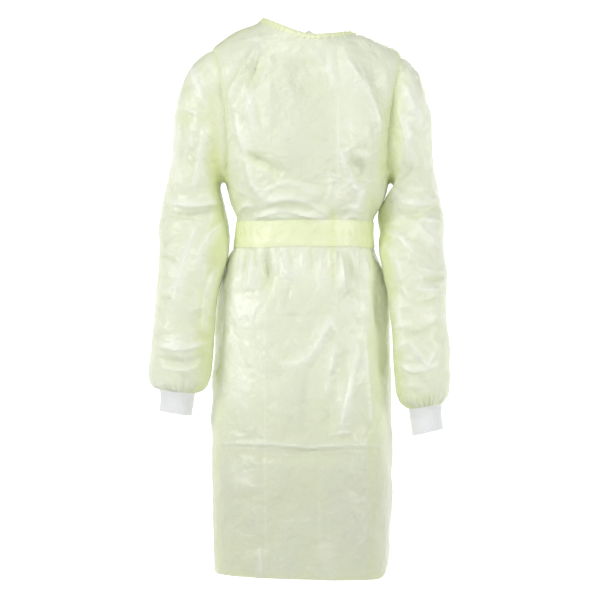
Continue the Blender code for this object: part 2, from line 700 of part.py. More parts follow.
def build_cuff(name, side, seam, end):
    """A rib-knit cuff, ribs outside and plain inside, a seam's gap below its sleeve."""
    count = 2 * CUFF_RIBS
    turn = 2.0 * np.pi * np.arange(count) / count
    ribs = RIB_HEIGHT * (np.arange(count) % 2)
    plain = np.full(count, -CUFF_WALL)
    share = np.linspace(0.0, 1.0, CUFF_ROWS + 1)[:, None, None]
    drop = np.array([0.0, 0.0, -SEAM_GAP])
    walls = []
    for height in (ribs, plain):
        top = cuff_ring(seam, side, turn, height) + drop
        bottom = cuff_ring(end, side, turn, height) + drop
        walls.append(top + (bottom - top) * share)
    build_wall(name, walls[0], walls[1], True, KNIT)


def build_arm(name, side, table, end):
    """One sleeve and its cuff."""
    outer, inner = sleeve_grid(side, table)
    build_wall(f"sleeve_{name}", outer, inner, True, CLOTH)
    build_cuff(f"cuff_{name}", side, table[-1], end)


def fasten(name, size, seat_and_facing, ties):
    """A knot on its seat, and the ties that hang from it."""
    axes, under_knot = build_knot(name, size, *seat_and_facing)
    for tie in ties:
        build_tie(tie, axes, under_knot)


def main():
    """Builds every piece of the gown."""
    clear_scene()
    at = body_rows()
    grids = front_grid(at), back_left_grid(at), back_right_grid(at)
    for name, grid in zip(("front_panel", "back_panel_left", "back_panel_right"), grids):
        build_wall(name, grid[0], grid[1], False, CLOTH)
    build_arm("left", LEFT, SLEEVE_LEFT, CUFF_LEFT_END)
    build_arm("right", RIGHT, SLEEVE_RIGHT, CUFF_RIGHT_END)
    fasten("belt_knot", BELT_KNOT, build_belt(grids, at), BELT_TIES)
    fasten("neck_tie_knot", NECK_KNOT, build_binding(grids, at), NECK_TIES)


main()
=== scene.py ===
"""An isolation gown as worn: coated cloth with its creases, rib-knit cuffs, a bound neck and a tied belt.

Each piece of cloth is a surface of two parameters, worked out with numpy as whole arrays on a grid: the body
from a table of sections, the sleeves from tables of rings. Creases move its points along its normals.
The frame is the gown's own: metres, +Z up, the front facing -Y and +X to the wearer's left.
"""

import logging
import math
from collections.abc import Iterable, Sequence
from dataclasses import dataclass, replace
from enum import Enum

import bmesh
import bpy
import numpy as np
from numpy.typing import NDArray
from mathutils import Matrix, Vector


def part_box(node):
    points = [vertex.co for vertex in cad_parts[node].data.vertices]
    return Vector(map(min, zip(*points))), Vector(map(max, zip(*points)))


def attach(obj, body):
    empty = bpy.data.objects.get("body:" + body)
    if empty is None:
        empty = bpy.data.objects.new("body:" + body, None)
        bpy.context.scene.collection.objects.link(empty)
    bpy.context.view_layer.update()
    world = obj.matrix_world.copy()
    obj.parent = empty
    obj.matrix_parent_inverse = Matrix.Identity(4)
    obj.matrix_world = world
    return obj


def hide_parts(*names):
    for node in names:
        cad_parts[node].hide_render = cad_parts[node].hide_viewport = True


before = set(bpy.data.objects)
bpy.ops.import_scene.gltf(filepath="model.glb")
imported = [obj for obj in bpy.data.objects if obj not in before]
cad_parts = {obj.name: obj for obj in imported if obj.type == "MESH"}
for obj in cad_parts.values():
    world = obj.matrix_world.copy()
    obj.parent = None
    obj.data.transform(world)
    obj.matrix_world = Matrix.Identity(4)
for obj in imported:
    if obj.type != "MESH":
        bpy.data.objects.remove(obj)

Array = NDArray[np.float64]
Colour = tuple[float, float, float, float]
LOG = logging.getLogger("isolation gown")

# Millimetres in a metre
MILLIMETRES = 1000.0

# Cloth: thickness, doubled bands at seams and hems, and their tints
CLOTH_THICKNESS = 0.0006
SEAM_BAND = 0.0095
HEM_BAND = 0.012
BAND_FADE = 0.001
SEAM_RIDGE = 0.0005
RIDGE_WIDTH = 0.0014
SKIRT_TINT = 0.25
ARMHOLE_TINT = 0.45
# Crease depth over which the painted shade in troughs grows
HOLLOW_DEPTH = 0.009
SHARP_EDGE = math.radians(62.0)

# Creases: their cross-sections, how they fade and swell along their paths, and the painted highlights on
# their crests and painted shade in their troughs
SHARP_FALL = 2.0
SHARP_ROUNDING = 0.02
SHARP_CREST = 0.141
LAP_WIDE = 1.5
LAP_STEEP = 0.36
CREASE_REACH = 3.2
CREASE_FADE = 0.6
CREASE_SWELL = 0.22
SWELL_WAVES = 9.0
SWELL_START = 40.0
CREASE_GAIN = 1.3
CREST_HEIGHT = 0.0035
CREST_PAINTED_LIGHT = 0.42
LOWEST_CREST = -0.7

# Grids: height of the panels' rows, numbers of rows and columns, and of steps to measure lengths with
ROW_STEP = 0.0032
FRONT_COLUMNS = 122
BACK_COLUMNS = 120
LAP_COLUMNS = 15
ARMHOLE_ROWS = 72
SLEEVE_ROWS = 214
SLEEVE_FINE_STEPS = 240
CREASE_POINTS = 9
FINE_STEPS = 2000

# Body of the gown, the same sizes as its solids. Its stations count sections up from the hem.
ARMHOLE_FRONT = math.radians(23.0)
ARMHOLE_BACK = math.radians(33.0)
SIDE_RISE = 1.5
HEM_LIFT = 0.036
HEM_LIFT_FROM = math.radians(66.0)
HEM_LIFT_TO = math.radians(112.0)
HEM_LIFT_STATIONS = 1.6
FOLD_TURN = 0.35
LAP_RISE = 0.0024
LAP_RISE_AT_NECK = 0.0054
LAP_NECK_STATIONS = 2.0
LAP_START = math.radians(122.0)
LAP_FULL = math.radians(150.0)
RING_FULLNESS = 0.9
SHOULDER_POINT = math.radians(80.0)
SHOULDER_POINT_SPREAD = math.radians(26.0)
SHOULDER_POINT_STATIONS = 0.55
SHOULDER_POINT_LIFT = 0.0050

# Where and how far creases are calmed under the belt and near the neck, distances in stations
BELT_MARGIN = 0.25
BELT_CALM = 0.85
NECK_CALM_FROM = 1.3
NECK_CALM_TO = 0.9
NECK_CALM = 0.8

# Tints of the bands, painted shade on the turned sides and painted light beside the hips, with their
# stations, angles and shares
TINT_STATIONS = (7.5, 9.5)
HIP_STATIONS = (2.0, 4.0, 5.6, 6.4)
SIDE_SHADE_ANGLE = math.radians(98.0)
SIDE_SHADE_SPREAD = math.radians(26.0)
SIDE_SHADE_LOW = 0.35
SIDE_SHADE_AT_HIP = 0.2
SIDE_SHADE_WEIGHT = 0.6
# Painted light beside the hips, against the shadow of the sleeves there
HIP_PAINTED_LIGHT_ANGLE = math.radians(84.0)
HIP_PAINTED_LIGHT_SPREAD = math.radians(34.0)
HIP_PAINTED_LIGHT = 0.9
LAP_TINT_ANGLES = (math.radians(148.0), math.radians(153.0))
LAP_TINT = 0.7
# Painted shade on the back panels beside their side seams
SEAM_SIDE_SHADE = 0.20
SEAM_SIDE_REACH = (0.03, 0.09)
PUCKER = 0.55
PUCKER_WAVES = 620.0

# Belt, binding and ties
BELT_REST = 0.0008
BELT_THICKNESS = 0.0013
BINDING_REST = 0.0007
BINDING_PITCH = 0.0030
TIE_RISE = 0.0125
TIE_THICKNESS = 0.0011
STITCH_PITCH = 0.0034
SLEEVE_STITCH_LINE = 0.004
KNOT_UNDERSIDE = 0.88

# Studio
LIGHT_TARGET = (0.0, 0.0, -0.55)
WORLD_STRENGTH = 0.37

# Camera
CAMERA_AZIMUTH = math.radians(5.0)
CAMERA_DISTANCE = 4.8
CAMERA_HEIGHT = -0.582
FRAME_WIDTH = 1.248
SENSOR = 36.0
FRAME_PIXELS = 600.0
AXIS_RIGHT_PIXELS = 3.0
AXIS_DOWN_PIXELS = 5.0


class Side(Enum):
    """The wearer's side, as the sign of X."""

    LEFT = 1
    RIGHT = -1


class Face(Enum):
    """Which way the cloth under a crease faces, as the sign of -Y."""

    FRONT = 1
    BACK = -1


class Form(Enum):
    """Cross-section of a crease."""

    SOFT = "soft"
    SHARP = "sharp"
    LAPPED = "lapped"


FRONT, BACK = Face
SOFT, SHARP, LAPPED = Form


def through(values: Sequence | Array, at: Array | Sequence[float]) -> Array:
    """Smooth curve through values at 0, 1, 2 and so on: a natural cubic spline.

    Args:
        values: numbers or points, the first axis counting the places.
        at: where the curve is read.

    Returns:
        The curve's values at those places.
    """
    values = np.asarray(values, dtype=float)
    count = len(values)
    at = np.clip(np.asarray(at, dtype=float), 0.0, count - 1.0)
    flat = values.reshape(count, -1)
    links = 4.0 * np.eye(count) + np.eye(count, k=1) + np.eye(count, k=-1)
    links[0, 1] = links[-1, -2] = 0.0
    bend = np.zeros_like(flat)
    bend[1:-1] = 6.0 * (flat[:-2] - 2.0 * flat[1:-1] + flat[2:])
    bend = np.linalg.solve(links, bend).reshape(values.shape)
    low = np.minimum(at.astype(int), count - 2)
    share = (at - low).reshape(at.shape + (1,) * (values.ndim - 1))
    rest = 1.0 - share
    line = rest * values[low] + share * values[low + 1]
    return line + ((rest**3 - rest) * bend[low] + (share**3 - share) * bend[low + 1]) / 6.0


def ease(value: Array | float, start: float, end: float) -> Array:
    """Rises smoothly from 0 at start to 1 at end: three times the share squared less twice its cube."""
    share = np.clip((np.asarray(value) - start) / (end - start), 0.0, 1.0)
    return share * share * (3.0 - 2.0 * share)


def hump(value: Array, middle: float, width: float) -> Array:
    """A bell of height 1: e to the minus square of the distance from its middle over its width."""
    return np.exp(-(((value - middle) / width) ** 2))


def signed_power(value: Array, power: Array | float) -> Array:
    """Power of the size, with the sign kept."""
    return np.sign(value) * np.abs(value) ** power


def unit(vectors: Array) -> Array:
    """Vectors of length 1."""
    return vectors / np.maximum(np.linalg.norm(vectors, axis=-1, keepdims=True), 1e-12)


def within_half_turn(angle: Array) -> Array:
    """Size of an angle from the front, 0 to half a turn."""
    return np.abs(np.arctan2(np.sin(angle), np.cos(angle)))


def facing(angle: Array) -> tuple[Array, Array]:
    """Shares by which cloth at an angle from the front faces the front and the back."""
    return ease(np.cos(angle), 0.0, FOLD_TURN), ease(-np.cos(angle), 0.0, FOLD_TURN)


def quads(rows: int, columns: int, wrap_rows: bool, wrap_columns: bool) -> Array:
    """Quads between the neighbours of a grid of points, which are numbered row by row.

    Args:
        rows: the grid's rows.
        columns: its columns.
        wrap_rows: whether the last row joins the first.
        wrap_columns: whether the last column joins the first.

    Returns:
        Four point numbers for each quad.
    """
    above = np.arange(rows if wrap_rows else rows - 1)
    beside = np.arange(columns if wrap_columns else columns - 1)
    low, left = np.meshgrid(above, beside, indexing="ij")
    up, right = (low + 1) % rows * columns, (left + 1) % columns
    low = low * columns
    return np.stack([low + left, low + right, up + right, up + left], -1).reshape(-1, 4)


def run(points: Array, axis: int) -> Array:
    """Length travelled along an axis of a grid of points, from 0 at its first line.

    Args:
        points: a grid of points.
        axis: 0 for up the columns, 1 for along the rows.

    Returns:
        The length reached at each point.
    """
    steps = np.linalg.norm(np.diff(points, axis=axis), axis=-1)
    start = np.zeros_like(np.take(steps, [0], axis=axis))
    return np.concatenate([start, np.cumsum(steps, axis=axis)], axis=axis)


def grid_normals(points: Array, wrap: bool) -> Array:
    """Unit normals of a grid: its slope along the columns crossed with its slope along the rows.

    Args:
        points: a grid of points, rows by columns.
        wrap: whether the last column joins the first.

    Returns:
        One normal for each point.
    """
    up = np.gradient(points, axis=0)
    if wrap:
        round_it = np.roll(points, -1, axis=1) - np.roll(points, 1, axis=1)
    else:
        round_it = np.gradient(points, axis=1)
    return unit(np.cross(round_it, up))


@dataclass(frozen=True)
class Crease:
    """A ridge (height above 0) or trough laid on the cloth, as seen from the front or the back."""

    name: str
    face: Face
    path: tuple[tuple[float, float], ...]
    width: float
    height: float
    form: Form = Form.SOFT

    def profile(self, across: Array) -> Array:
        """Height over the crease's own height, from the distance across it in widths.

        A soft crease is a bell, a sharp one falls off from a narrow crest, and a lapped one is steep on one
        side.

        Args:
            across: distances from the crease's middle, with a sign for the side.

        Returns:
            The profile's height at each of them.
        """
        if self.form is SHARP:
            return np.exp(-SHARP_FALL * (np.sqrt(across**2 + SHARP_ROUNDING) - SHARP_CREST))
        if self.form is LAPPED:
            return np.where(across > 0.0, hump(across, 0.0, LAP_WIDE), hump(across, 0.0, LAP_STEEP))
        return np.exp(-(across**2))

    def rise(self, x: Array, z: Array) -> Array:
        """How far the crease moves each point out.

        The distance to the nearest stretch of the path goes through the profile, and the height fades to
        nothing at both ends, with a slow swell in between.

        Args:
            x: places from side to side.
            z: heights.

        Returns:
            The crease's height at each place.
        """
        line = through(self.path, np.linspace(0.0, len(self.path) - 1.0, CREASE_POINTS))
        reach = CREASE_REACH * self.width
        low, high = line.min(axis=0) - reach, line.max(axis=0) + reach
        near = (x > low[0]) & (x < high[0]) & (z > low[1]) & (z < high[1])
        total = np.zeros_like(x)
        if not near.any():
            return total
        steps = np.diff(line, axis=0)
        lengths = np.hypot(steps[:, 0], steps[:, 1])
        reached = np.concatenate([[0.0], np.cumsum(lengths)])
        to_x, to_z = x[near][:, None] - line[:-1, 0], z[near][:, None] - line[:-1, 1]
        share = np.clip((to_x * steps[:, 0] + to_z * steps[:, 1]) / lengths**2, 0.0, 1.0)
        away = np.hypot(to_x - share * steps[:, 0], to_z - share * steps[:, 1])
        nearest = (np.arange(len(away)), away.argmin(axis=1))
        side = np.sign(steps[:, 0] * to_z - steps[:, 1] * to_x)[nearest]
        along = (reached[:-1] + share * lengths)[nearest] / reached[-1]
        fade = np.sin(np.pi * along) ** CREASE_FADE
        swell = 1.0 + CREASE_SWELL * np.sin(SWELL_WAVES * along + SWELL_START * reached[-1])
        total[near] = self.height * fade * swell * self.profile(side * away[nearest] / self.width)
        return total


def crease_table(face: Face, *rows: tuple) -> tuple[Crease, ...]:
    """Creases of one face from a table in millimetres.

    Args:
        face: the side of the gown that they are on.
        rows: for each a name, form, width, height and the points of its path, x and z.

    Returns:
        The creases, in metres.
    """
    made = []
    for name, form, width, height, *path in rows:
        metres = tuple((x / MILLIMETRES, z / MILLIMETRES) for x, z in path)
        made.append(Crease(name, face, metres, width / MILLIMETRES, height / MILLIMETRES, form))
    return tuple(made)


def patch_table(face: Face, *rows: tuple) -> tuple[Crease, ...]:
    """Patches of another colour, laid along paths as creases are, whose height is a share.

    Args:
        face: the side of the gown that they are on.
        rows: for each a name, a width in millimetres, a share and the points of its path in millimetres.

    Returns:
        The patches, in metres.
    """
    soft_rows = ((name, SOFT, width, share * MILLIMETRES, *path) for name, width, share, *path in rows)
    return crease_table(face, *soft_rows)


@dataclass(frozen=True)
class Strewn:
    """Small creases of a region, drawn from a seed: their middles, leans, lengths, widths and heights."""

    seed: int
    count: int
    face: Face
    x_range: tuple[float, float]
    z_range: tuple[float, float]
    lean_deg: tuple[float, float]
    length: tuple[float, float]
    width: tuple[float, float]
    height: float
    bow: float = 0.25
    lowest: float = 0.45
    trough: float = 0.8

    def creases(self) -> list[Crease]:
        """The creases, each a shallow arc of three points, ridges and troughs in turn.

        Returns:
            As many creases as the count says. One in three is lapped and the others are sharp.
        """
        draw = np.random.default_rng(self.seed)
        made = []
        for number in range(self.count):
            middle = np.array([draw.uniform(*self.x_range), draw.uniform(*self.z_range)])
            lean = math.radians(draw.uniform(*self.lean_deg))
            half = 0.5 * draw.uniform(*self.length) * np.array([math.cos(lean), math.sin(lean)])
            bow = draw.uniform(-self.bow, self.bow) * np.array([-half[1], half[0]])
            path = tuple(tuple(float(v) for v in p) for p in (middle - half, middle + bow, middle + half))
            height = self.height * draw.uniform(self.lowest, 1.0) * (1.0 if number % 2 else -self.trough)
            form = SHARP if number % 3 else LAPPED
            made.append(Crease(f"small {number}", self.face, path, draw.uniform(*self.width), height, form))
        return made


@dataclass(frozen=True)
class Crumple:
    """Facets of a cloth that was folded and pressed.

    Slanting waves of drawn directions and lengths are added up. The softened size of the sum has narrow
    valleys where the sum is 0, which look like the creases between flat facets.
    """

    seed: int
    spacing: float
    height: float
    waves: int = 7
    softness: float = 0.12
    level: float = 0.8
    lengths: tuple[float, float] = (0.8, 2.2)

    def rise(self, points: Array) -> Array:
        """Height of the facets at points in space.

        Args:
            points: points of any grid.

        Returns:
            Heights between about minus and plus the crumple's height.
        """
        draw = np.random.default_rng(self.seed)
        total = np.zeros(points.shape[:-1])
        for _ in range(self.waves):
            way = unit(draw.normal(size=3))
            length = self.spacing * draw.uniform(*self.lengths)
            total += np.sin(2.0 * np.pi * (points @ way) / length + draw.uniform(0.0, 2.0 * np.pi))
        total /= math.sqrt(self.waves / 2.0)
        return self.height * (np.sqrt(total**2 + self.softness**2) - self.level)


@dataclass(frozen=True)
class Creases:
    """All the creases and crumples of one part of the gown."""

    folds: tuple[Crease, ...]
    laid: tuple[Crease, ...]
    crumples: tuple[Crumple, ...]
    doubled: tuple[Crease, ...] = ()
    painted_light_patches: tuple[Crease, ...] = ()

    @staticmethod
    def total(marks: tuple[Crease, ...], x: Array, z: Array, front: Array, back: Array) -> Array:
        """Sum of marks, each weighed by how far the cloth faces its way.

        Args:
            marks: creases, or patches laid in the same way.
            x: places from side to side.
            z: heights.
            front: share by which each point faces the front.
            back: share by which it faces the back.

        Returns:
            The sum at each point.
        """
        weights = {FRONT: front, BACK: back}
        total = np.zeros(np.broadcast(x, front).shape)
        for mark in marks:
            total += weights[mark.face] * mark.rise(x, z)
        return total

    def laid_rise(self, x: Array, z: Array, front: Array, back: Array) -> Array:
        """Height of the creases without the main folds."""
        return CREASE_GAIN * self.total(self.laid, x, z, front, back)

    def patches(self, points: Array, front: Array, back: Array) -> tuple[Array, Array]:
        """Shares of doubled cloth and of painted highlights and shade at points.

        Painted highlights lie along the crests of creases and painted shade in their troughs.

        Args:
            points: points of a grid.
            front: share by which each point faces the front.
            back: share by which it faces the back.

        Returns:
            The doubled share, and the share of painted light, 0.5 where it is plain, above it for painted
            highlights and below it for painted shade.
        """
        x, z = points[..., 0], points[..., 2]
        doubled = self.total(self.doubled, x, z, front, back)
        # Painted highlights on the crests of creases and painted shade in their troughs, from the creases'
        # heights
        crest = np.clip(self.laid_rise(x, z, front, back) / CREST_HEIGHT, LOWEST_CREST, 1.0)
        return doubled, 0.5 + 0.5 * self.total(self.painted_light_patches, x, z, front, back) + CREST_PAINTED_LIGHT * crest

    def crumple_rise(self, points: Array) -> Array:
        """Sum of the crumples."""
        return sum((crumple.rise(points) for crumple in self.crumples), np.zeros(points.shape[:-1]))


# Values that the finish reads: doubled cloth, painted shade in hollows, painted shade on turned sides, and
# painted highlights and shade
VALUES = ("doubled", "hollow", "turned", "tone")


@dataclass
class ClothGrid:
    """A piece of cloth on a grid, with the values that its finish reads at each point."""

    points: Array
    across: Array
    along: Array
    doubled: Array
    hollow: Array
    turned: Array
    tone: Array
    wrap: bool = False

    @classmethod
    def even(cls, points: Array, wrap: bool = False, **values: Array | float) -> "ClothGrid":
        """A grid whose cloth coordinates are its own lengths.

        Args:
            points: the grid's points.
            wrap: whether its last column joins its first.
            values: what its finish reads, each one number or an array. What isn't given is 0.

        Returns:
            The grid.
        """
        spread = {label: np.broadcast_to(values.get(label, 0.0), points.shape[:2]) for label in VALUES}
        return cls(points, run(points, 1), run(points, 0), wrap=wrap, **spread)

    def faces(self) -> Array:
        """Quads of the wall: its outer skin, its inner skin and its cut edges.

        Returns:
            Four point numbers for each quad, the inner skin's points following the outer skin's.
        """
        rows, columns = self.points.shape[:2]
        outer = quads(rows, columns, False, self.wrap)
        count = rows * columns
        here = np.arange(columns if self.wrap else columns - 1)
        there = (here + 1) % columns
        top = count - columns
        skins = [
            outer,
            outer[:, ::-1] + count,
            np.stack([here + count, there + count, there, here], -1),
            np.stack([top + here, top + there, top + there + count, top + here + count], -1),
        ]
        if not self.wrap:
            start = np.arange(rows - 1) * columns
            end = start + columns - 1
            skins.append(np.stack([start, start + columns, start + columns + count, start + count], -1))
            skins.append(np.stack([end + count, end + columns + count, end + columns, end], -1))
        return np.concatenate(skins)

    def build(self, name: str, thickness: float = CLOTH_THICKNESS) -> bpy.types.Object:
        """Makes the wall: the grid outside and the same grid moved in along its normals.

        Args:
            name: the object's name.
            thickness: the cloth's thickness.

        Returns:
            The new object, with its cloth coordinates and values.
        """
        normal = grid_normals(self.points, self.wrap)
        points = np.concatenate([self.points, self.points - thickness * normal]).reshape(-1, 3)
        faces = self.faces()
        uv = np.stack([self.across, self.along], -1).reshape(-1, 2)
        made = make_object(name, points, faces.tolist(), np.concatenate([uv, uv]))
        for label in VALUES:
            values = np.clip(getattr(self, label), 0.0, 1.0).ravel()
            layer = made.data.attributes.new(label, "FLOAT", "POINT")
            layer.data.foreach_set("value", np.concatenate([values, values]).astype(np.float32))
        return made


def make_object(name: str, points: Array, faces: list, uv: Array | None = None) -> bpy.types.Object:
    """An object at the origin, shaded smooth but for its sharp edges.

    Args:
        name: the object's name.
        points: its points.
        faces: lists of point numbers.
        uv: cloth coordinates of the points, for its UV map.

    Returns:
        The object, in the scene.
    """
    mesh = bpy.data.meshes.new(name)
    mesh.from_pydata(points.tolist(), [], faces)
    if uv is not None:
        corners = np.empty(len(mesh.loops), dtype=np.int32)
        mesh.loops.foreach_get("vertex_index", corners)
        layer = mesh.uv_layers.new(name="cloth")
        layer.data.foreach_set("uv", uv[corners].astype(np.float32).ravel())
    mesh.shade_smooth()
    mesh.set_sharp_from_angle(angle=SHARP_EDGE)
    made = bpy.data.objects.new(name, mesh)
    bpy.context.scene.collection.objects.link(made)
    return made


def turn_outward(made: bpy.types.Object) -> bpy.types.Object:
    """Turns the faces of closed lumps outward.

    Args:
        made: an object of closed lumps.

    Returns:
        The same object.
    """
    shape = bmesh.new()
    shape.from_mesh(made.data)
    bmesh.ops.recalc_face_normals(shape, faces=shape.faces)
    shape.to_mesh(made.data)
    shape.free()
    return made


class Value:
    """A number from a node's socket. Arithmetic on it adds Math nodes."""

    def __init__(self, shader: "Shader", socket: bpy.types.NodeSocket) -> None:
        """Keeps the shader and the socket."""
        self.shader = shader
        self.socket = socket

    def _with(self, operation: str, *others: "Value | float", first: bool = True) -> "Value":
        """One Math node of this number and the others.

        Args:
            operation: the node's operation.
            others: the other inputs.
            first: whether this number comes first.

        Returns:
            The node's result.
        """
        inputs = [self, *others] if first else [*others, self]
        made = self.shader.node("ShaderNodeMath", {"operation": operation}, dict(enumerate(inputs)))
        return Value(self.shader, made.outputs[0])

    def __add__(self, other: "Value | float") -> "Value":
        """Sum."""
        return self._with("ADD", other)

    __radd__ = __add__

    def __mul__(self, other: "Value | float") -> "Value":
        """Product."""
        return self._with("MULTIPLY", other)

    __rmul__ = __mul__

    def __sub__(self, other: "Value | float") -> "Value":
        """Difference."""
        return self._with("SUBTRACT", other)

    def __rsub__(self, other: "Value | float") -> "Value":
        """Reflected difference."""
        return self._with("SUBTRACT", other, first=False)

    def __truediv__(self, other: "Value | float") -> "Value":
        """Quotient."""
        return self._with("DIVIDE", other)

    def __rtruediv__(self, other: "Value | float") -> "Value":
        """Reflected quotient."""
        return self._with("DIVIDE", other, first=False)

    def size(self) -> "Value":
        """Absolute value."""
        return self._with("ABSOLUTE")

    def sine(self) -> "Value":
        """Sine."""
        return self._with("SINE")

    def fraction(self) -> "Value":
        """What is left past the whole number."""
        return self._with("FRACT")

    def clamped(self) -> "Value":
        """Kept between 0 and 1, by a node that adds nothing.

        Returns:
            The number, clamped.
        """
        kept = self._with("ADD", 0.0)
        kept.socket.node.use_clamp = True
        return kept


class Shader:
    """A material whose nodes are added by one method."""

    def __init__(self, name: str) -> None:
        """Starts with a Principled shader alone.

        Args:
            name: the material's name.
        """
        self.material = bpy.data.materials.new(name)
        self.material.use_nodes = True
        self.tree = self.material.node_tree
        self.surface = self.tree.nodes["Principled BSDF"]

    def node(self, kind: str, settings: dict, inputs: dict) -> bpy.types.Node:
        """Adds a node.

        Args:
            kind: the node's type.
            settings: its own properties, set first.
            inputs: a value or a link for each socket, by name or place.

        Returns:
            The node.
        """
        made = self.tree.nodes.new(kind)
        for label, setting in settings.items():
            setattr(made, label, setting)
        for label, value in inputs.items():
            self.feed(made.inputs[label], value)
        return made

    def feed(
        self, socket: bpy.types.NodeSocket, value: "Value | bpy.types.NodeSocket | float | Colour"
    ) -> None:
        """Links a socket, or sets it.

        Args:
            socket: an input.
            value: an output to link to it, or its constant.
        """
        if isinstance(value, Value):
            value = value.socket
        if isinstance(value, bpy.types.NodeSocket):
            self.tree.links.new(value, socket)
        else:
            socket.default_value = value

    def attribute(self, name: str) -> Value:
        """A number that the mesh carries."""
        return Value(self, self.node("ShaderNodeAttribute", {"attribute_name": name}, {}).outputs["Fac"])

    def parts(self, vector: bpy.types.NodeSocket) -> tuple[Value, Value, Value]:
        """The three numbers of a vector."""
        made = self.node("ShaderNodeSeparateXYZ", {}, {0: vector})
        return tuple(Value(self, made.outputs[place]) for place in range(3))

    def noise(self, where: bpy.types.NodeSocket, scale: float, detail: float = 3.0) -> Value:
        """Noise between 0 and 1."""
        inputs = {"Vector": where, "Scale": scale, "Detail": detail}
        return Value(self, self.node("ShaderNodeTexNoise", {}, inputs).outputs[0])

    def cells(self, where: bpy.types.NodeSocket, scale: float) -> Value:
        """Distance to the nearest of many scattered points: facets that meet in creases."""
        made = self.node("ShaderNodeTexVoronoi", {"feature": "F1"}, {"Vector": where, "Scale": scale})
        return Value(self, made.outputs["Distance"])

    def mix(self, factor: Value | float, one: object, two: object) -> bpy.types.NodeSocket:
        """A colour between two."""
        settings = {"data_type": "RGBA", "clamp_factor": True}
        return self.node("ShaderNodeMix", settings, {0: factor, 6: one, 7: two}).outputs[2]

    def bump(self, height: Value, distance: float, strength: float) -> bpy.types.NodeSocket:
        """A normal tilted by a height."""
        inputs = {"Strength": strength, "Distance": distance, "Height": height}
        return self.node("ShaderNodeBump", {}, inputs).outputs["Normal"]

    def finish(self, **inputs: object) -> bpy.types.Material:
        """Feeds the Principled shader's sockets, their names given with underscores.

        Args:
            inputs: a value or a link for each socket.

        Returns:
            The material.
        """
        for label, value in inputs.items():
            self.feed(self.surface.inputs[label.replace("_", " ")], value)
        return self.material


@dataclass(frozen=True)
class CoatedCloth:
    """Thin nonwoven cloth with a coat of film: pale, deeper where layers double, with a soft gloss, and with
    painted shade and painted highlights mixed into its colour.
    """

    name: str = "coated cloth"
    pale: Colour = (0.800, 0.842, 0.672, 1.0)
    # deep is the colour of doubled cloth, and also that of the painted shade in hollows and on turned sides
    deep: Colour = (0.700, 0.780, 0.310, 1.0)
    low: Colour = (0.650, 0.680, 0.535, 1.0)
    # dull is the colour of painted shade and bright that of painted highlights
    dull: Colour = (0.600, 0.635, 0.500, 1.0)
    bright: Colour = (0.960, 0.980, 0.880, 1.0)
    fibre: Colour = (0.93, 0.95, 0.86, 1.0)
    from_doubling: float = 0.42
    hollow_shade_share: float = 0.20
    side_shade_share: float = 0.50
    from_cloud: float = 0.22
    # How strongly the painted shade and the painted highlights are mixed in
    painted_shade_strength: float = 0.8
    painted_highlight_strength: float = 1.1
    base_doubling: float = 0.0
    low_from: float = 0.74
    low_over: float = 0.22
    roughness: float = 0.40
    coat: float = 0.25
    coat_roughness: float = 0.27

    def film(self, shader: Shader, where: bpy.types.NodeSocket) -> Value:
        """Height of the film's facets: cells that meet in creases, and noise folded at its middle.

        Args:
            shader: the material's nodes.
            where: the object's coordinates, which a first noise bends.

        Returns:
            The height, in metres.
        """
        warp = shader.node("ShaderNodeTexNoise", {}, {"Vector": where, "Scale": 14.0, "Detail": 2.0})
        inputs = {0: warp.outputs["Color"], "Scale": 0.05}
        scaled = shader.node("ShaderNodeVectorMath", {"operation": "SCALE"}, inputs).outputs[0]
        bent = shader.node("ShaderNodeVectorMath", {"operation": "ADD"}, {0: where, 1: scaled}).outputs[0]
        film = shader.cells(bent, 24.0) * 0.0034 + shader.cells(bent, 61.0) * 0.0012
        film = film + (shader.noise(bent, 33.0, 2.0) - 0.5).size() * 0.0048
        return film + (shader.noise(bent, 92.0, 2.0) - 0.5).size() * 0.0016

    def material(self) -> bpy.types.Material:
        """The finish: colour from doubling, painted shade in hollows and on turned sides, and painted
        highlights and shade, with bump from film facets and fibres.

        Returns:
            The material.
        """
        shader = Shader(self.name)
        where = shader.node("ShaderNodeTexCoord", {}, {}).outputs["Object"]
        height = shader.parts(where)[2]
        cloud = shader.noise(where, 11.0, 4.0)
        fibre = shader.noise(where, 950.0, 2.0)
        lower = ((0.0 - height - self.low_from) / self.low_over).clamped()
        # Doubled cloth, with the painted shade in hollows and on turned sides, is mixed towards deep
        depth = shader.attribute("doubled") * self.from_doubling
        depth = depth + shader.attribute("hollow") * self.hollow_shade_share
        depth = depth + shader.attribute("turned") * self.side_shade_share
        depth = depth + (cloud - 0.5) * self.from_cloud + self.base_doubling
        colour = shader.mix(lower, self.pale, self.low)
        colour = shader.mix(depth.clamped(), colour, self.deep)
        # Painted light: painted shade where the value is below 0.5 and painted highlights where it is above
        tone = shader.attribute("tone")
        colour = shader.mix((0.5 - tone) * self.painted_shade_strength, colour, self.dull)
        colour = shader.mix((tone - 0.5) * self.painted_highlight_strength, colour, self.bright)
        colour = shader.mix((fibre - 0.42).clamped() * 0.35, colour, self.fibre)
        dots = (0.45 - shader.cells(where, 620.0)).clamped()
        normal = shader.bump(self.film(shader, where) + fibre * 0.00012 - dots * 0.00012, 1.0, 0.8)
        rough = cloud * 0.16 + fibre * 0.10 + (self.roughness - 0.13)
        return shader.finish(
            Base_Color=colour,
            Roughness=rough,
            Normal=normal,
            IOR=1.46,
            Sheen_Weight=0.12,
            Sheen_Roughness=0.4,
            Coat_Weight=self.coat,
            Coat_Roughness=self.coat_roughness,
        )


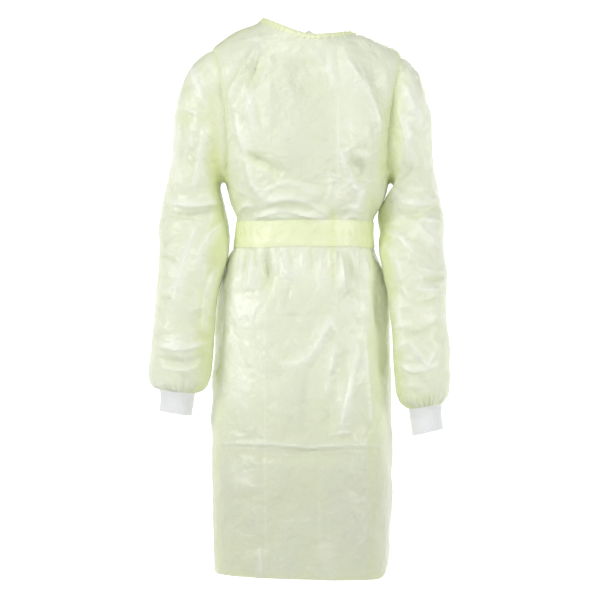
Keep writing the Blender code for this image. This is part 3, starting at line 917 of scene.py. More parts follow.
@dataclass(frozen=True)
class RibKnit:
    """White rib knit: courses of small stitches along each rib, with painted shade between the ribs."""

    name: str = "rib knit"
    light: Colour = (0.960, 0.968, 0.965, 1.0)
    # Colour of the painted shade between the ribs and the stitches
    painted_groove_shade: Colour = (0.850, 0.865, 0.870, 1.0)

    def material(self) -> bpy.types.Material:
        """The finish. The UV map counts ribs across and courses along.

        Returns:
            The material.
        """
        shader = Shader(self.name)
        coordinates = shader.node("ShaderNodeTexCoord", {}, {})
        across, along, _ = shader.parts(coordinates.outputs["UV"])
        fuzz = shader.noise(coordinates.outputs["Object"], 1300.0, 3.0)
        slant = (across.fraction() - 0.5).size()
        stitch = ((along + slant) * (2.0 * math.pi)).sine() * 0.5 + 0.5
        wale = ((across - 0.25) * (2.0 * math.pi)).sine() * 0.5 + 0.5
        # Painted shade between the ribs and between the stitches, the plain colour on their tops
        colour = shader.mix((wale * 0.75 + stitch * 0.25).clamped(), self.painted_groove_shade, self.light)
        normal = shader.bump(stitch * 0.6 + fuzz * 0.4, 0.0006, 0.6)
        return shader.finish(
            Base_Color=colour,
            Roughness=fuzz * 0.1 + 0.82,
            Normal=normal,
            Sheen_Weight=0.25,
            Sheen_Roughness=0.6,
        )


@dataclass(frozen=True)
class Thread:
    """Pale sewing thread with a twist."""

    name: str = "sewing thread"
    colour: Colour = (0.80, 0.83, 0.60, 1.0)
    shine: Colour = (0.88, 0.90, 0.76, 1.0)

    def material(self) -> bpy.types.Material:
        """The finish: a fine twist in colour and bump.

        Returns:
            The material.
        """
        shader = Shader(self.name)
        where = shader.node("ShaderNodeTexCoord", {}, {}).outputs["Object"]
        twist = shader.noise(where, 2200.0, 2.0)
        colour = shader.mix(twist, self.colour, self.shine)
        normal = shader.bump(twist, 0.0002, 0.5)
        return shader.finish(Base_Color=colour, Roughness=twist * 0.2 + 0.45, Normal=normal)


@dataclass(frozen=True)
class Backdrop:
    """Plain pale floor and its round cove."""

    name: str = "pale backdrop"
    grain_dark: Colour = (0.58, 0.58, 0.58, 1.0)
    grain_pale: Colour = (0.62, 0.62, 0.62, 1.0)
    glow_before: Colour = (0.12, 0.12, 0.12, 1.0)
    glow_behind: Colour = (0.80, 0.80, 0.80, 1.0)
    glow_from: float = 1.0
    glow_over: float = 3.0

    def material(self) -> bpy.types.Material:
        """Pale with a faint grain. It glows behind the gown, so that it reads as white paper there.

        Returns:
            The material.
        """
        shader = Shader(self.name)
        where = shader.node("ShaderNodeTexCoord", {}, {}).outputs["Object"]
        grain = shader.noise(where, 3.0, 2.0)
        colour = shader.mix(grain, self.grain_dark, self.grain_pale)
        behind = ((shader.parts(where)[1] + self.glow_from) / self.glow_over).clamped()
        glow = shader.mix(behind, self.glow_before, self.glow_behind)
        return shader.finish(Base_Color=colour, Roughness=0.9, Emission_Color=glow, Emission_Strength=1.0)


@dataclass(frozen=True)
class Section:
    """A level of the gown's body. Its sizes are those of the solids."""

    name: str
    z_front: float
    z_side: float
    z_back: float
    half_width: float
    front_depth: float
    back_depth: float
    squareness: float
    shift: float
    twist_deg: float
    tilt: float
    seam_deg: float


# Columns: name, z_front, z_side, z_back, half_width, front_depth, back_depth, squareness,
# shift, twist_deg, tilt, seam_deg
SECTIONS = (
    Section("hem", -1.139, -1.140, -1.140, 0.1820, 0.1160, 0.120, 2.50, -0.003, -7.0, 0.0025, 57.0),
    Section("knee", -0.985, -0.985, -0.985, 0.1855, 0.1180, 0.124, 2.50, -0.003, -7.0, 0.0010, 56.0),
    Section("thigh", -0.800, -0.800, -0.800, 0.1870, 0.1190, 0.127, 2.45, -0.003, -7.0, 0.0, 55.0),
    Section("seat", -0.680, -0.680, -0.680, 0.1860, 0.1180, 0.128, 2.35, -0.003, -6.5, 0.0, 55.0),
    Section("hip", -0.580, -0.580, -0.580, 0.1820, 0.1160, 0.126, 2.30, -0.002, -5.5, 0.0, 58.0),
    Section("high hip", -0.510, -0.510, -0.510, 0.1670, 0.1090, 0.117, 2.25, 0.000, -4.0, 0.0, 63.0),
    Section("belt low", -0.463, -0.463, -0.463, 0.1460, 0.1010, 0.101, 2.20, 0.002, -2.0, 0.0, 68.0),
    Section("belt high", -0.409, -0.409, -0.409, 0.1420, 0.0990, 0.098, 2.20, 0.004, 1.0, 0.0, 71.0),
    Section("blouse", -0.383, -0.383, -0.383, 0.1520, 0.1080, 0.105, 2.25, 0.006, 3.0, 0.0, 75.0),
    Section("underarm", -0.333, -0.333, -0.333, 0.1670, 0.1180, 0.112, 2.30, 0.008, 6.0, 0.0, 82.0),
    Section("ribs", -0.275, -0.264, -0.268, 0.1810, 0.1250, 0.118, 2.35, 0.008, 7.0, 0.0, 83.0),
    Section("bust", -0.219, -0.196, -0.205, 0.1920, 0.1230, 0.122, 2.40, 0.008, 7.0, 0.0, 82.0),
    Section("chest", -0.166, -0.128, -0.144, 0.1980, 0.1130, 0.119, 2.40, 0.008, 7.0, 0.0015, 80.0),
    Section("shoulder tip", -0.118, -0.065, -0.089, 0.1910, 0.0985, 0.107, 2.35, 0.007, 6.5, 0.0050, 78.0),
    Section("shoulder", -0.078, -0.029, -0.050, 0.1490, 0.0860, 0.089, 2.20, 0.007, 6.0, 0.0085, 74.0),
    Section("binding low", -0.042, -0.011, -0.026, 0.1085, 0.0775, 0.073, 2.05, 0.010, 5.0, 0.0122, 70.0),
    Section("neckline", -0.026, -0.001, -0.012, 0.0940, 0.0705, 0.065, 2.00, 0.011, 5.0, 0.0143, 68.0),
)
TOP = len(SECTIONS) - 1.0
STATION = {section.name: float(place) for place, section in enumerate(SECTIONS)}
BELT_LOW, BELT_HIGH = STATION["belt low"], STATION["belt high"]
UNDERARM, SHOULDER_TIP = STATION["underarm"], STATION["shoulder tip"]
BINDING_LOW = STATION["binding low"]


# Main folds, the same as those of the solids. Columns: name, form, width and height, then the path's points
# as x and z, all in millimetres.
MAIN_FOLDS = crease_table(
    FRONT,
    ("drag fold from the right shoulder", SOFT, 11, 7.5, (-86, -47), (-150, -175)),
    ("hollow beside that fold", SOFT, 13, -7, (-77, -64), (-112, -175)),
    ("second right bodice fold", SOFT, 12, 4, (-105, -134), (-85, -250)),
    ("ridge from the left shoulder", SOFT, 16, 6.5, (95, -80), (162, -220)),
    ("hollow outside that ridge", SOFT, 14, -4.5, (147, -105), (170, -175)),
    ("hollow under the left bust", SOFT, 20, -11, (108, -262), (122, -340)),
    ("ridge under that hollow", SOFT, 12, 5, (86, -257), (106, -372)),
    ("hollow under the right bust", SOFT, 16, -8, (-122, -268), (-28, -316)),
    ("blouse above the belt", SOFT, 12, 8, (-96, -405), (66, -402)),
    ("upper blouse roll", SOFT, 12, 5.5, (-86, -368), (50, -360)),
    ("trough between the rolls", SOFT, 10, -5, (-90, -387), (62, -382)),
    ("wide gather at the right", SOFT, 11, -7, (-66, -475), (-63, -560)),
    ("gather left of it", SOFT, 10, 4.5, (-96, -475), (-102, -555)),
    ("gather at the middle", SOFT, 12, 5, (-34, -475), (-12, -540)),
    ("gather at the left", SOFT, 11, 5.5, (84, -475), (96, -570)),
    ("gather beside the left seam", SOFT, 11, -5.5, (117, -475), (132, -570)),
    ("skirt drape to the middle", SOFT, 16, 5, (66, -602), (16, -705)),
    ("skirt drape at the left", SOFT, 14, 4.5, (77, -650), (56, -780)),
    ("long skirt drape", SOFT, 16, 6, (122, -650), (84, -850)),
    ("hollow beside the long drape", SOFT, 14, -4.5, (100, -670), (62, -850)),
    ("left skirt edge drape", SOFT, 12, 4, (137, -660), (149, -850)),
    ("dent by the left forearm", SOFT, 16, -11, (164, -480), (174, -740)),
    ("dent by the right forearm", SOFT, 16, -13, (-170, -480), (-184, -720)),
    ("packing fold across the front", SOFT, 11, 3, (-152, -868), (156, -870)),
    ("shadow line under it", SOFT, 13, -3.5, (-125, -889), (125, -887)),
    ("pleat at the hem", SOFT, 12, 6, (-76, -1080), (-77, -1170)),
) + crease_table(
    BACK,
    ("shoulder blade drape left", SOFT, 18, 6, (105, -120), (85, -330)),
    ("shoulder blade drape right", SOFT, 18, 6.5, (-110, -110), (-80, -330)),
    ("middle back hollow", SOFT, 22, -6, (20, -200), (10, -370)),
    ("back blouse roll", SOFT, 12, 7, (-90, -390), (100, -384)),
    ("back gather left", SOFT, 13, 6, (60, -475), (85, -640)),
    ("back gather middle", SOFT, 14, -6, (12, -475), (25, -660)),
    ("back gather right", SOFT, 13, 6.5, (-65, -475), (-82, -620)),
    ("back gather near the right seam", SOFT, 12, -5, (-105, -475), (-125, -580)),
    ("back skirt drape left", SOFT, 20, 6, (110, -640), (90, -1020)),
    ("back skirt drape right", SOFT, 20, 5.5, (-120, -600), (-105, -950)),
    ("packing fold across the back", SOFT, 11, 3, (-150, -868), (150, -868)),
)

# Creases seen in the photo on the front, and plainly drawn ones on the back, in the same columns
FRONT_CREASES = crease_table(
    FRONT,
    ("bright drag ridge", SHARP, 6, 3.8, (-98, -38), (-86, -56), (-120, -113), (-147, -165)),
    ("line beside the drag ridge", SHARP, 5, -2.4, (-77, -62), (-94, -110), (-108, -162)),
    ("armpit fold", SHARP, 6, 3.4, (-112, -130), (-99, -186), (-87, -232)),
    ("armpit fold's shadow", SOFT, 7, -2.8, (-86, -160), (-79, -195), (-73, -226)),
    ("low armpit fold", LAPPED, 7, 3, (-135, -200), (-118, -250), (-98, -330)),
    ("left bodice ridge", SHARP, 7, 3.6, (94, -78), (136, -138), (161, -196), (164, -245)),
    ("second left bodice ridge", SHARP, 6, 2.4, (120, -85), (148, -150), (168, -190)),
    ("upright packing crease", SHARP, 3.5, 1.1, (80, -150), (81, -300), (80, -402)),
    ("small chest crease", SHARP, 4.5, 1.8, (2, -188), (-1, -228)),
    ("chest packing crease", SHARP, 4, 0.9, (-58, -120), (-56, -230), (-60, -330)),
    ("under bust edge", LAPPED, 8, 4, (86, -258), (93, -300), (125, -366)),
    ("under bust line", SOFT, 7, 2.6, (96, -262), (118, -276), (150, -282)),
    ("small bust arc", SOFT, 5, -1.6, (29, -240), (50, -247), (69, -250)),
    ("right bust trough", SOFT, 7, -3.4, (-122, -268), (-105, -276), (-80, -288), (-30, -316)),
    ("right bust ridge", SHARP, 6, 2.6, (-120, -284), (-82, -304), (-36, -330)),
    ("bodice fan 1", SOFT, 6, 2.6, (-105, -300), (-92, -340), (-60, -372)),
    ("bodice fan 2", SHARP, 6, 2.4, (62, -300), (66, -345), (50, -380)),
    ("bodice fan 3", SOFT, 6, 3, (130, -330), (126, -362), (112, -398)),
    ("blouse roll above the belt", LAPPED, 5, 4.4, (-98, -409), (-24, -392), (67, -420)),
    ("second blouse roll", LAPPED, 6, 3.6, (-88, -391), (-17, -368), (63, -400)),
    ("third blouse roll", SOFT, 6, 2.6, (-88, -367), (-22, -334), (44, -364)),
    ("blouse pocket at the left", LAPPED, 5, 3.4, (88, -415), (105, -402), (124, -410)),
    ("blouse pocket line", SOFT, 5, 2.2, (82, -394), (104, -384), (130, -392)),
    ("blouse pocket at the right", LAPPED, 5, 3, (-128, -398), (-112, -380), (-96, -388)),
    ("gather 1", SHARP, 4, 3, (-124, -466), (-124, -524)),
    ("gather 2", SHARP, 3.8, -2.6, (-112, -466), (-116, -535)),
    ("gather 3", SHARP, 4.4, 3, (-98, -466), (-102, -532)),
    ("gather 4", SHARP, 4, 2.6, (-83, -466), (-79, -528)),
    ("gather 5", SOFT, 6, -3.6, (-66, -466), (-64, -548)),
    ("gather 6", SHARP, 4, 2.8, (-50, -466), (-46, -520)),
    ("gather 7", LAPPED, 5, 3.4, (-36, -466), (-26, -498), (-10, -527)),
    ("gather 8", SOFT, 4.2, -2.2, (-20, -466), (-10, -505)),
    ("gather 9", SHARP, 4, 2.4, (4, -466), (14, -526)),
    ("gather 10", SOFT, 4, -2, (24, -466), (30, -512)),
    ("gather 11", SHARP, 3.8, 1.8, (44, -466), (48, -518)),
    ("flat pleat's right edge", LAPPED, 3, 2.4, (60, -466), (64, -518)),
    ("flat pleat's left edge", LAPPED, 3, 2.4, (77, -520), (76, -466)),
    ("gather 12", SHARP, 4.4, 3.2, (86, -466), (90, -510), (97, -560)),
    ("gather 13", SOFT, 4.4, -2.6, (101, -466), (110, -530)),
    ("gather 14", SHARP, 4.6, 3, (117, -466), (131, -556)),
    ("gather 15", SHARP, 4, 2.4, (130, -466), (146, -530)),
    ("hip crease at the right", SHARP, 4.5, -1.8, (-166, -552), (-120, -556), (-70, -552)),
    ("soft dent at the left hip", SOFT, 11, -3, (82, -556), (104, -560), (128, -555)),
    ("crease across the belly", SHARP, 5, -1.6, (-58, -600), (0, -603), (57, -599)),
    ("upright skirt crease", SHARP, 3.5, 1.5, (-66, -560), (-68, -850), (-65, -1135)),
    ("upright skirt crease at the left", SHARP, 3.5, 1.1, (45, -960), (46, -1040), (47, -1110)),
    ("drape to the middle", LAPPED, 8, 3.6, (66, -602), (23, -684), (-35, -698)),
    ("drape 2", SHARP, 7, 3, (77, -655), (68, -712), (55, -768)),
    ("drape 3", LAPPED, 7, 2.8, (121, -655), (110, -724), (83, -842)),
    ("drape 4", SHARP, 6, 2.6, (137, -670), (147, -800), (150, -850)),
    ("drape 5", SOFT, 8, -1.8, (20, -720), (10, -790), (12, -850)),
    ("small skirt mark 1", SHARP, 4, 1.6, (-79, -678), (-79, -740)),
    ("small skirt mark 2", SHARP, 4, 1.6, (-100, -732), (-100, -778)),
    ("small skirt mark 3", SHARP, 4, 1.4, (-43, -772), (-43, -808)),
    ("packing fold's crest", SHARP, 3, 2.8, (-176, -868), (-72, -863), (20, -870), (100, -865), (174, -871)),
    ("packing fold shadow", SHARP, 3, -2.2, (-172, -875), (-72, -871), (20, -878), (100, -873), (168, -879)),
    ("second packing line at the right", SHARP, 3.2, 1.2, (-78, -884), (-20, -887), (42, -886)),
    ("second packing line at the left", SHARP, 3.2, 1.2, (104, -878), (130, -883)),
    ("bump over the packing fold", SHARP, 6, 2.8, (62, -848), (84, -842), (107, -843)),
    ("crumple under the fold 1", SHARP, 4, 2, (-104, -890), (-92, -902), (-76, -909)),
    ("crumple under the fold 2", SHARP, 4, 1.6, (-122, -941), (-100, -950), (-72, -953)),
    ("crumple over the fold", SHARP, 5, 1.6, (-150, -842), (-126, -850), (-100, -846)),
    ("hem pleat's crest", SHARP, 4, 1.8, (-78, -1072), (-77, -1142)),
    ("hem wave 1", SOFT, 14, 0.7, (60, -1040), (68, -1142)),
    ("hem wave 2", SOFT, 16, -0.8, (-10, -1050), (-6, -1142)),
    ("neck gather 1", SHARP, 2.8, 1.8, (116, -36), (124, -54)),
    ("neck gather 2", SHARP, 2.8, 1.6, (124, -54), (129, -36)),
    ("neck gather 3", SHARP, 2.8, 1.8, (129, -36), (137, -55)),
    ("forward shoulder seam", SHARP, 3, 1.4, (-31, -22), (-87, -34), (-157, -47)),
    ("neck line crease", SOFT, 10, 1.6, (-60, -52), (0, -72), (70, -60)),
    ("slant from the neck", SOFT, 8, 2, (70, -45), (64, -90), (76, -140)),
)

BACK_CREASES = crease_table(
    BACK,
    ("yoke drag left", SHARP, 8, 3.8, (70, -45), (112, -110), (140, -190)),
    ("yoke drag right", LAPPED, 8, 3.6, (-74, -50), (-120, -120), (-150, -200)),
    ("back blade fold left", SHARP, 8, 3.4, (140, -160), (110, -230), (94, -330)),
    ("back blade fold right", SHARP, 8, 3.6, (-144, -170), (-112, -240), (-86, -340)),
    ("back bow 1", SOFT, 8, 2.6, (-100, -330), (-20, -350), (70, -332)),
    ("back bow 2", LAPPED, 6, 4.2, (-110, -402), (-30, -386), (30, -390), (110, -402)),
    ("back bow 3", SOFT, 6, 2.8, (-90, -372), (0, -366), (96, -370)),
    ("back gather 1", SHARP, 5, 3.4, (-118, -466), (-130, -560)),
    ("back gather 2", SHARP, 4, -2.8, (-96, -466), (-104, -540)),
    ("back gather 3", LAPPED, 5, 3.4, (-78, -466), (-90, -590)),
    ("back gather 4", SHARP, 4, 2.6, (-54, -466), (-60, -530)),
    ("back gather 5", SOFT, 5, -3, (-30, -466), (-34, -570)),
    ("back gather 6", SHARP, 5, 3.2, (34, -466), (42, -560)),
    ("back gather 7", SOFT, 5, -2.8, (56, -466), (70, -600)),
    ("back gather 8", SHARP, 4, 3.2, (80, -466), (100, -560)),
    ("back gather 9", LAPPED, 5, 3, (104, -466), (122, -550)),
    ("back skirt drape 1", LAPPED, 9, 3.8, (-90, -600), (-110, -760), (-100, -930)),
    ("back skirt drape 2", SHARP, 9, 3.8, (70, -620), (90, -800), (82, -990)),
    ("back skirt drape 3", SOFT, 9, 2.6, (-40, -640), (-50, -760)),
    ("back packing crest", SHARP, 3.6, 2.6, (-154, -866), (-50, -870), (50, -866), (154, -870)),
    ("back packing shadow", SHARP, 3.6, -2, (-150, -874), (-50, -878), (50, -874), (150, -878)),
    ("back upright crease left", SHARP, 3.5, 1.4, (72, -560), (70, -850), (74, -1135)),
    ("back upright crease right", SHARP, 3.5, 1.4, (-76, -540), (-78, -840), (-74, -1135)),
    ("crease across the seat", SHARP, 5, -1.6, (-120, -640), (0, -646), (110, -638)),
)

# Columns: seed, count, face, x and z ranges, lean in degrees, lengths, widths and height
BODY_STREWN = (
    Strewn(11, 46, FRONT, (-0.16, 0.17), (-0.34, -0.06), (35.0, 145.0), (0.02, 0.07), (0.003, 0.006), 0.0017),
    Strewn(18, 24, FRONT, (-0.13, 0.14), (-0.40, -0.28), (-40.0, 40.0), (0.02, 0.06), (0.003, 0.006), 0.0018),
    Strewn(12, 26, FRONT, (-0.13, 0.13), (-0.60, -0.47), (60.0, 120.0), (0.03, 0.09), (0.003, 0.005), 0.0017),
    Strewn(13, 40, FRONT, (-0.16, 0.16), (-0.86, -0.58), (50.0, 130.0), (0.03, 0.11), (0.003, 0.007), 0.0012),
    Strewn(14, 34, FRONT, (-0.16, 0.16), (-1.10, -0.88), (-60.0, 60.0), (0.02, 0.06), (0.003, 0.006), 0.0008),
    Strewn(15, 50, BACK, (-0.16, 0.16), (-0.38, -0.07), (40.0, 140.0), (0.03, 0.08), (0.003, 0.006), 0.0018),
    Strewn(16, 30, BACK, (-0.14, 0.14), (-0.62, -0.47), (60.0, 120.0), (0.03, 0.10), (0.003, 0.006), 0.0020),
    Strewn(17, 54, BACK, (-0.17, 0.17), (-1.08, -0.60), (50.0, 130.0), (0.04, 0.12), (0.003, 0.008), 0.0012),
)

BODY_CRUMPLES = (
    Crumple(31, 0.110, 0.0017),
    Crumple(32, 0.050, 0.0008),
    Crumple(34, 0.024, 0.0003),
    Crumple(33, 0.30, 0.0022, softness=0.5),
)

# Columns of the patches: name, width, share, then the path's points as x and z, in millimetres
# Doubled cloth on the front. The patches behind the drag fold, at the armpits and armhole and at the waist
# and hips are partly doubled layers and partly painted shade on the sides and beside the fold.
BODY_DOUBLED = patch_table(
    FRONT,
    ("strip lying double over the belt", 6.5, 1.3, (67, -375), (69, -460), (71, -530)),
    ("cloth behind the drag fold", 7, 1.2, (-92, -62), (-124, -118), (-160, -178)),
    ("cloth doubled at the right armpit", 12, 1.3, (-166, -140), (-170, -215), (-164, -290)),
    ("cloth doubled at the left armhole", 16, 0.75, (168, -150), (176, -230), (166, -345)),
    ("cloth doubled at the left waist", 14, 0.55, (140, -330), (146, -400)),
    ("cloth doubled at the right waist", 10, 0.55, (-128, -340), (-134, -405)),
    ("cloth doubled at the left hip", 8, 0.5, (138, -470), (160, -560), (166, -640)),
    ("cloth doubled at the right hip", 8, 0.5, (-140, -470), (-166, -560), (-176, -700)),
)

# Painted light on the front, in the same columns: painted highlights where the share is above 0 and painted
# shade where it is below 0
BODY_PAINTED_LIGHT = patch_table(
    FRONT,
    ("duller film on the middle of the chest", 36, -0.34, (-12, -30), (-4, -160), (0, -320)),
    ("brighter film on the left chest", 28, 0.6, (82, -80), (98, -160), (100, -265)),
    ("brighter film on the right chest", 26, 0.7, (-96, -140), (-92, -200), (-112, -290)),
    ("duller film under the left bust", 14, -0.6, (106, -262), (124, -300), (130, -345)),
    ("brighter film at the left waist", 20, 0.6, (78, -320), (96, -380)),
    ("brighter film on the right hip", 36, 0.95, (-118, -480), (-128, -610), (-128, -800)),
    ("brighter film below the belt", 40, 0.75, (-60, -500), (70, -520)),
    ("brighter film along the long drape", 22, 0.4, (112, -660), (104, -840)),
    ("duller film on the middle of the skirt", 30, -0.4, (-4, -700), (-6, -860)),
    ("brighter film under the packing fold", 26, 0.35, (-122, -895), (-108, -970)),
    ("duller film on the upper left chest", 12, -0.35, (120, -70), (156, -170)),
    ("white line along the drag fold", 2.6, 1.3, (-86, -56), (-117, -113), (-144, -165)),
    ("white line down the armpit fold", 2.6, 0.9, (-110, -134), (-98, -186), (-87, -230)),
    ("white edge under the left bust", 2.6, 0.9, (88, -262), (96, -300), (126, -362)),
    ("white upright line on the bodice", 1.8, 0.6, (80, -150), (81, -300), (80, -400)),
    ("duller film on the belt", 20, -0.25, (-20, -436), (110, -436)),
)


@dataclass(frozen=True)
class Body:
    """The gown's body: a surface of station, counted up from the hem, and angle, from the centre front.

    Each section is a rounded box, its sine and cosine raised to a power, turned about the upright axis.
    """

    creases: Creases

    def column(self, name: str, at: Array) -> Array:
        """A column of the table, read at fractional stations."""
        return through([getattr(section, name) for section in SECTIONS], at)

    def plain(self, at: Array, angle: Array) -> Array:
        """Points without creases.

        Args:
            at: stations up from the hem.
            angle: angles from the centre front, by way of the wearer's left.

        Returns:
            Points of the smooth form.
        """
        side, front = np.sin(angle), np.cos(angle)
        power = 2.0 / self.column("squareness", at)
        depth = np.where(front > 0.0, self.column("front_depth", at), self.column("back_depth", at))
        x = self.column("half_width", at) * signed_power(side, power)
        y = -depth * signed_power(front, power)
        middle = np.where(front > 0.0, self.column("z_front", at), self.column("z_back", at))
        to_side = np.abs(side) ** SIDE_RISE
        z = self.column("z_side", at) * to_side + middle * (1.0 - to_side) - self.column("tilt", at) * side
        turned = np.abs(np.arctan2(side, front))
        near_hem = 1.0 - ease(at, 0.0, HEM_LIFT_STATIONS)
        z = z + HEM_LIFT * ease(turned, HEM_LIFT_FROM, HEM_LIFT_TO) * near_hem
        twist = np.radians(self.column("twist_deg", at))
        turned_x = x * np.cos(twist) - y * np.sin(twist) + self.column("shift", at)
        turned_y = x * np.sin(twist) + y * np.cos(twist)
        return np.stack([turned_x, turned_y, z], axis=-1)

    def normals(self, at: Array, angle: Array) -> Array:
        """Outward normals of the smooth form, from its slopes round and up.

        Args:
            at: stations.
            angle: angles.

        Returns:
            One normal for each point.
        """
        small = 1e-4
        at = np.clip(at, 2.0 * small, TOP - 2.0 * small)
        up = self.plain(at + small, angle) - self.plain(at - small, angle)
        round_it = self.plain(at, angle + small) - self.plain(at, angle - small)
        return unit(np.cross(round_it, up))

    def surface(self, at: Array, angle: Array, rise: Array | float = 0.0) -> tuple[Array, Array]:
        """Points with their creases.

        Args:
            at: stations.
            angle: angles.
            rise: an extra height, for the lap or for what lies on the cloth.

        Returns:
            The points, and the height that the creases gave them.
        """
        shape = np.broadcast(at, angle).shape
        at, angle = np.broadcast_to(at, shape), np.broadcast_to(angle, shape)
        points, normal = self.plain(at, angle), self.normals(at, angle)
        front, back = facing(angle)
        x, z = points[..., 0], points[..., 2]
        laid = self.creases.total(self.creases.folds, x, z, front, back)
        laid = laid + self.creases.laid_rise(x, z, front, back)
        under_belt = ease(at, BELT_LOW - BELT_MARGIN, BELT_LOW)
        under_belt = under_belt * (1.0 - ease(at, BELT_HIGH, BELT_HIGH + BELT_MARGIN))
        near_neck = ease(at, TOP - NECK_CALM_FROM, TOP - NECK_CALM_TO)
        calm = (1.0 - BELT_CALM * under_belt) * (1.0 - NECK_CALM * near_neck)
        height = calm * (laid + self.creases.crumple_rise(points))
        up_to_point = hump(at, SHOULDER_TIP, SHOULDER_POINT_STATIONS)
        round_to_point = hump(within_half_turn(angle), SHOULDER_POINT, SHOULDER_POINT_SPREAD)
        lift = SHOULDER_POINT_LIFT * up_to_point * round_to_point
        return points + normal * (height + rise + lift)[..., None], height

    def edges(self, at: Array) -> tuple[Array, Array]:
        """Angles where the front panel ends and the back panels begin, on the wearer's left.

        Between the underarm and the shoulder's tip they part by the armhole, along half an ellipse.

        Args:
            at: stations.

        Returns:
            The front panel's edge and the back panel's edge at each station.
        """
        share = np.clip((at - UNDERARM) / (SHOULDER_TIP - UNDERARM), 0.0, 1.0)
        arch = 2.0 * np.sqrt(share * (1.0 - share))
        seam = np.radians(self.column("seam_deg", at))
        return seam - ARMHOLE_FRONT * arch, seam + ARMHOLE_BACK * arch

    def armhole_stations(self) -> Array:
        """Stations up an armhole, closer together at its two ends, as a cosine spaces them."""
        share = 0.5 * (1.0 - np.cos(np.pi * np.arange(ARMHOLE_ROWS + 1) / ARMHOLE_ROWS))
        return UNDERARM + (SHOULDER_TIP - UNDERARM) * share

    def even_stations(self, low: float, high: float) -> Array:
        """Stations an even height apart.

        Args:
            low: the first station.
            high: the last one.

        Returns:
            The stations, the first and the last included.
        """
        fine = np.linspace(low, high, FINE_STEPS)
        height = self.column("z_side", fine)
        count = max(2, int(round((height[-1] - height[0]) / ROW_STEP)))
        return np.interp(np.linspace(height[0], height[-1], count + 1), height, fine)

    def rows(self) -> Array:
        """Stations of all the panels' rows."""
        below, above = self.even_stations(0.0, UNDERARM), self.even_stations(SHOULDER_TIP, TOP)
        return np.concatenate([below[:-1], self.armhole_stations(), above[1:]])

    def lap_rise(self, at: Array, angle: Array) -> Array:
        """How far the left back panel stands out over the right one.

        Args:
            at: stations.
            angle: angles past the wearer's left seam.

        Returns:
            The height of the lap at each point, more at the neck than below it.
        """
        near_neck = ease(at, TOP - LAP_NECK_STATIONS, BINDING_LOW)
        height = LAP_RISE + (LAP_RISE_AT_NECK - LAP_RISE) * near_neck
        return height * ease(angle, LAP_START, LAP_FULL)

    def panel(self, at: Array, angles: Array, rise: Array | float, loose: tuple[bool, bool]) -> ClothGrid:
        """One panel with its seam bands and hem.

        The doubled bands lie within a seam's allowance of each sewn edge, and end in a faint ridge.

        Args:
            at: stations of the rows.
            angles: angles of the points, rows by columns.
            rise: the lap's height.
            loose: whether the first and the last column are free edges and not seams.

        Returns:
            The panel's grid.
        """
        points, height = self.surface(at[:, None], angles, rise)
        normal = grid_normals(points, wrap=False)
        across, along = run(points, 1), run(points, 0)
        from_end = across[:, -1:] - across
        band, ridge = np.zeros_like(across), np.zeros_like(across)
        above_waist = ease(at, *TINT_STATIONS)[:, None]
        tint = SKIRT_TINT + (ARMHOLE_TINT - SKIRT_TINT) * above_waist
        puckers = PUCKER * np.sin(along * PUCKER_WAVES + 3.0 * np.sin(along * 90.0))
        for distance, free in ((across, loose[0]), (from_end, loose[1])):
            width = HEM_BAND if free else SEAM_BAND
            band = np.maximum(band, tint * (1.0 - ease(distance, width - BAND_FADE, width + BAND_FADE)))
            ridge += hump(distance, width, RIDGE_WIDTH)
            ridge += puckers * hump(distance, 0.5 * width, 0.35 * width)
        band = np.maximum(band, SKIRT_TINT * (1.0 - ease(along, HEM_BAND - BAND_FADE, HEM_BAND + BAND_FADE)))
        ridge += hump(along, HEM_BAND, RIDGE_WIDTH)
        points = points + normal * (SEAM_RIDGE * ridge)[..., None]
        hip_low, hip_full, hip_fading, hip_end = HIP_STATIONS
        beside_hip = ease(at, hip_low, hip_full)[:, None] * (1.0 - ease(at, hip_fading, hip_end)[:, None])
        # Painted shade on the sides that turn away from the front, weaker below the waist and beside the hips
        turned = hump(within_half_turn(angles), SIDE_SHADE_ANGLE, SIDE_SHADE_SPREAD)
        turned = turned * (SIDE_SHADE_LOW + (1.0 - SIDE_SHADE_LOW) * above_waist)
        turned = turned * (1.0 - (1.0 - SIDE_SHADE_AT_HIP) * beside_hip)
        doubled, tone = self.creases.patches(points, *facing(angles))
        # Painted light beside the hips, where the sleeves shade the body
        tone = tone + HIP_PAINTED_LIGHT * beside_hip * hump(within_half_turn(angles), HIP_PAINTED_LIGHT_ANGLE, HIP_PAINTED_LIGHT_SPREAD)
        # Painted shade in the troughs of creases, and less colour on their crests
        hollow = 0.5 - height / HOLLOW_DEPTH
        doubled = np.maximum(band, doubled)
        return ClothGrid(points, across, along, doubled, hollow, SIDE_SHADE_WEIGHT * turned, tone)

    def front(self) -> ClothGrid:
        """The front panel.

        Returns:
            Its grid, the same angle to both sides of the centre front in each row.
        """
        at = self.rows()
        edge = self.edges(at)[0][:, None]
        share = np.linspace(-1.0, 1.0, FRONT_COLUMNS + 1)
        return self.panel(at, edge * share, 0.0, (False, False))

    def back_angles(self, at: Array) -> Array:
        """Angles of all the back's columns, from the wearer's left seam round to the right one."""
        left = self.edges(at)[1][:, None]
        return left + (2.0 * np.pi - 2.0 * left) * np.linspace(0.0, 1.0, BACK_COLUMNS + 1)

    def back_left(self) -> ClothGrid:
        """The left back panel, which laps over the right one.

        Returns:
            Its grid, deeper in colour where it lies double.
        """
        at = self.rows()
        angles = self.back_angles(at)[:, : BACK_COLUMNS // 2 + LAP_COLUMNS + 1]
        grid = self.panel(at, angles, self.lap_rise(at[:, None], angles), (False, True))
        grid.doubled = np.maximum(grid.doubled, LAP_TINT * ease(angles, *LAP_TINT_ANGLES))
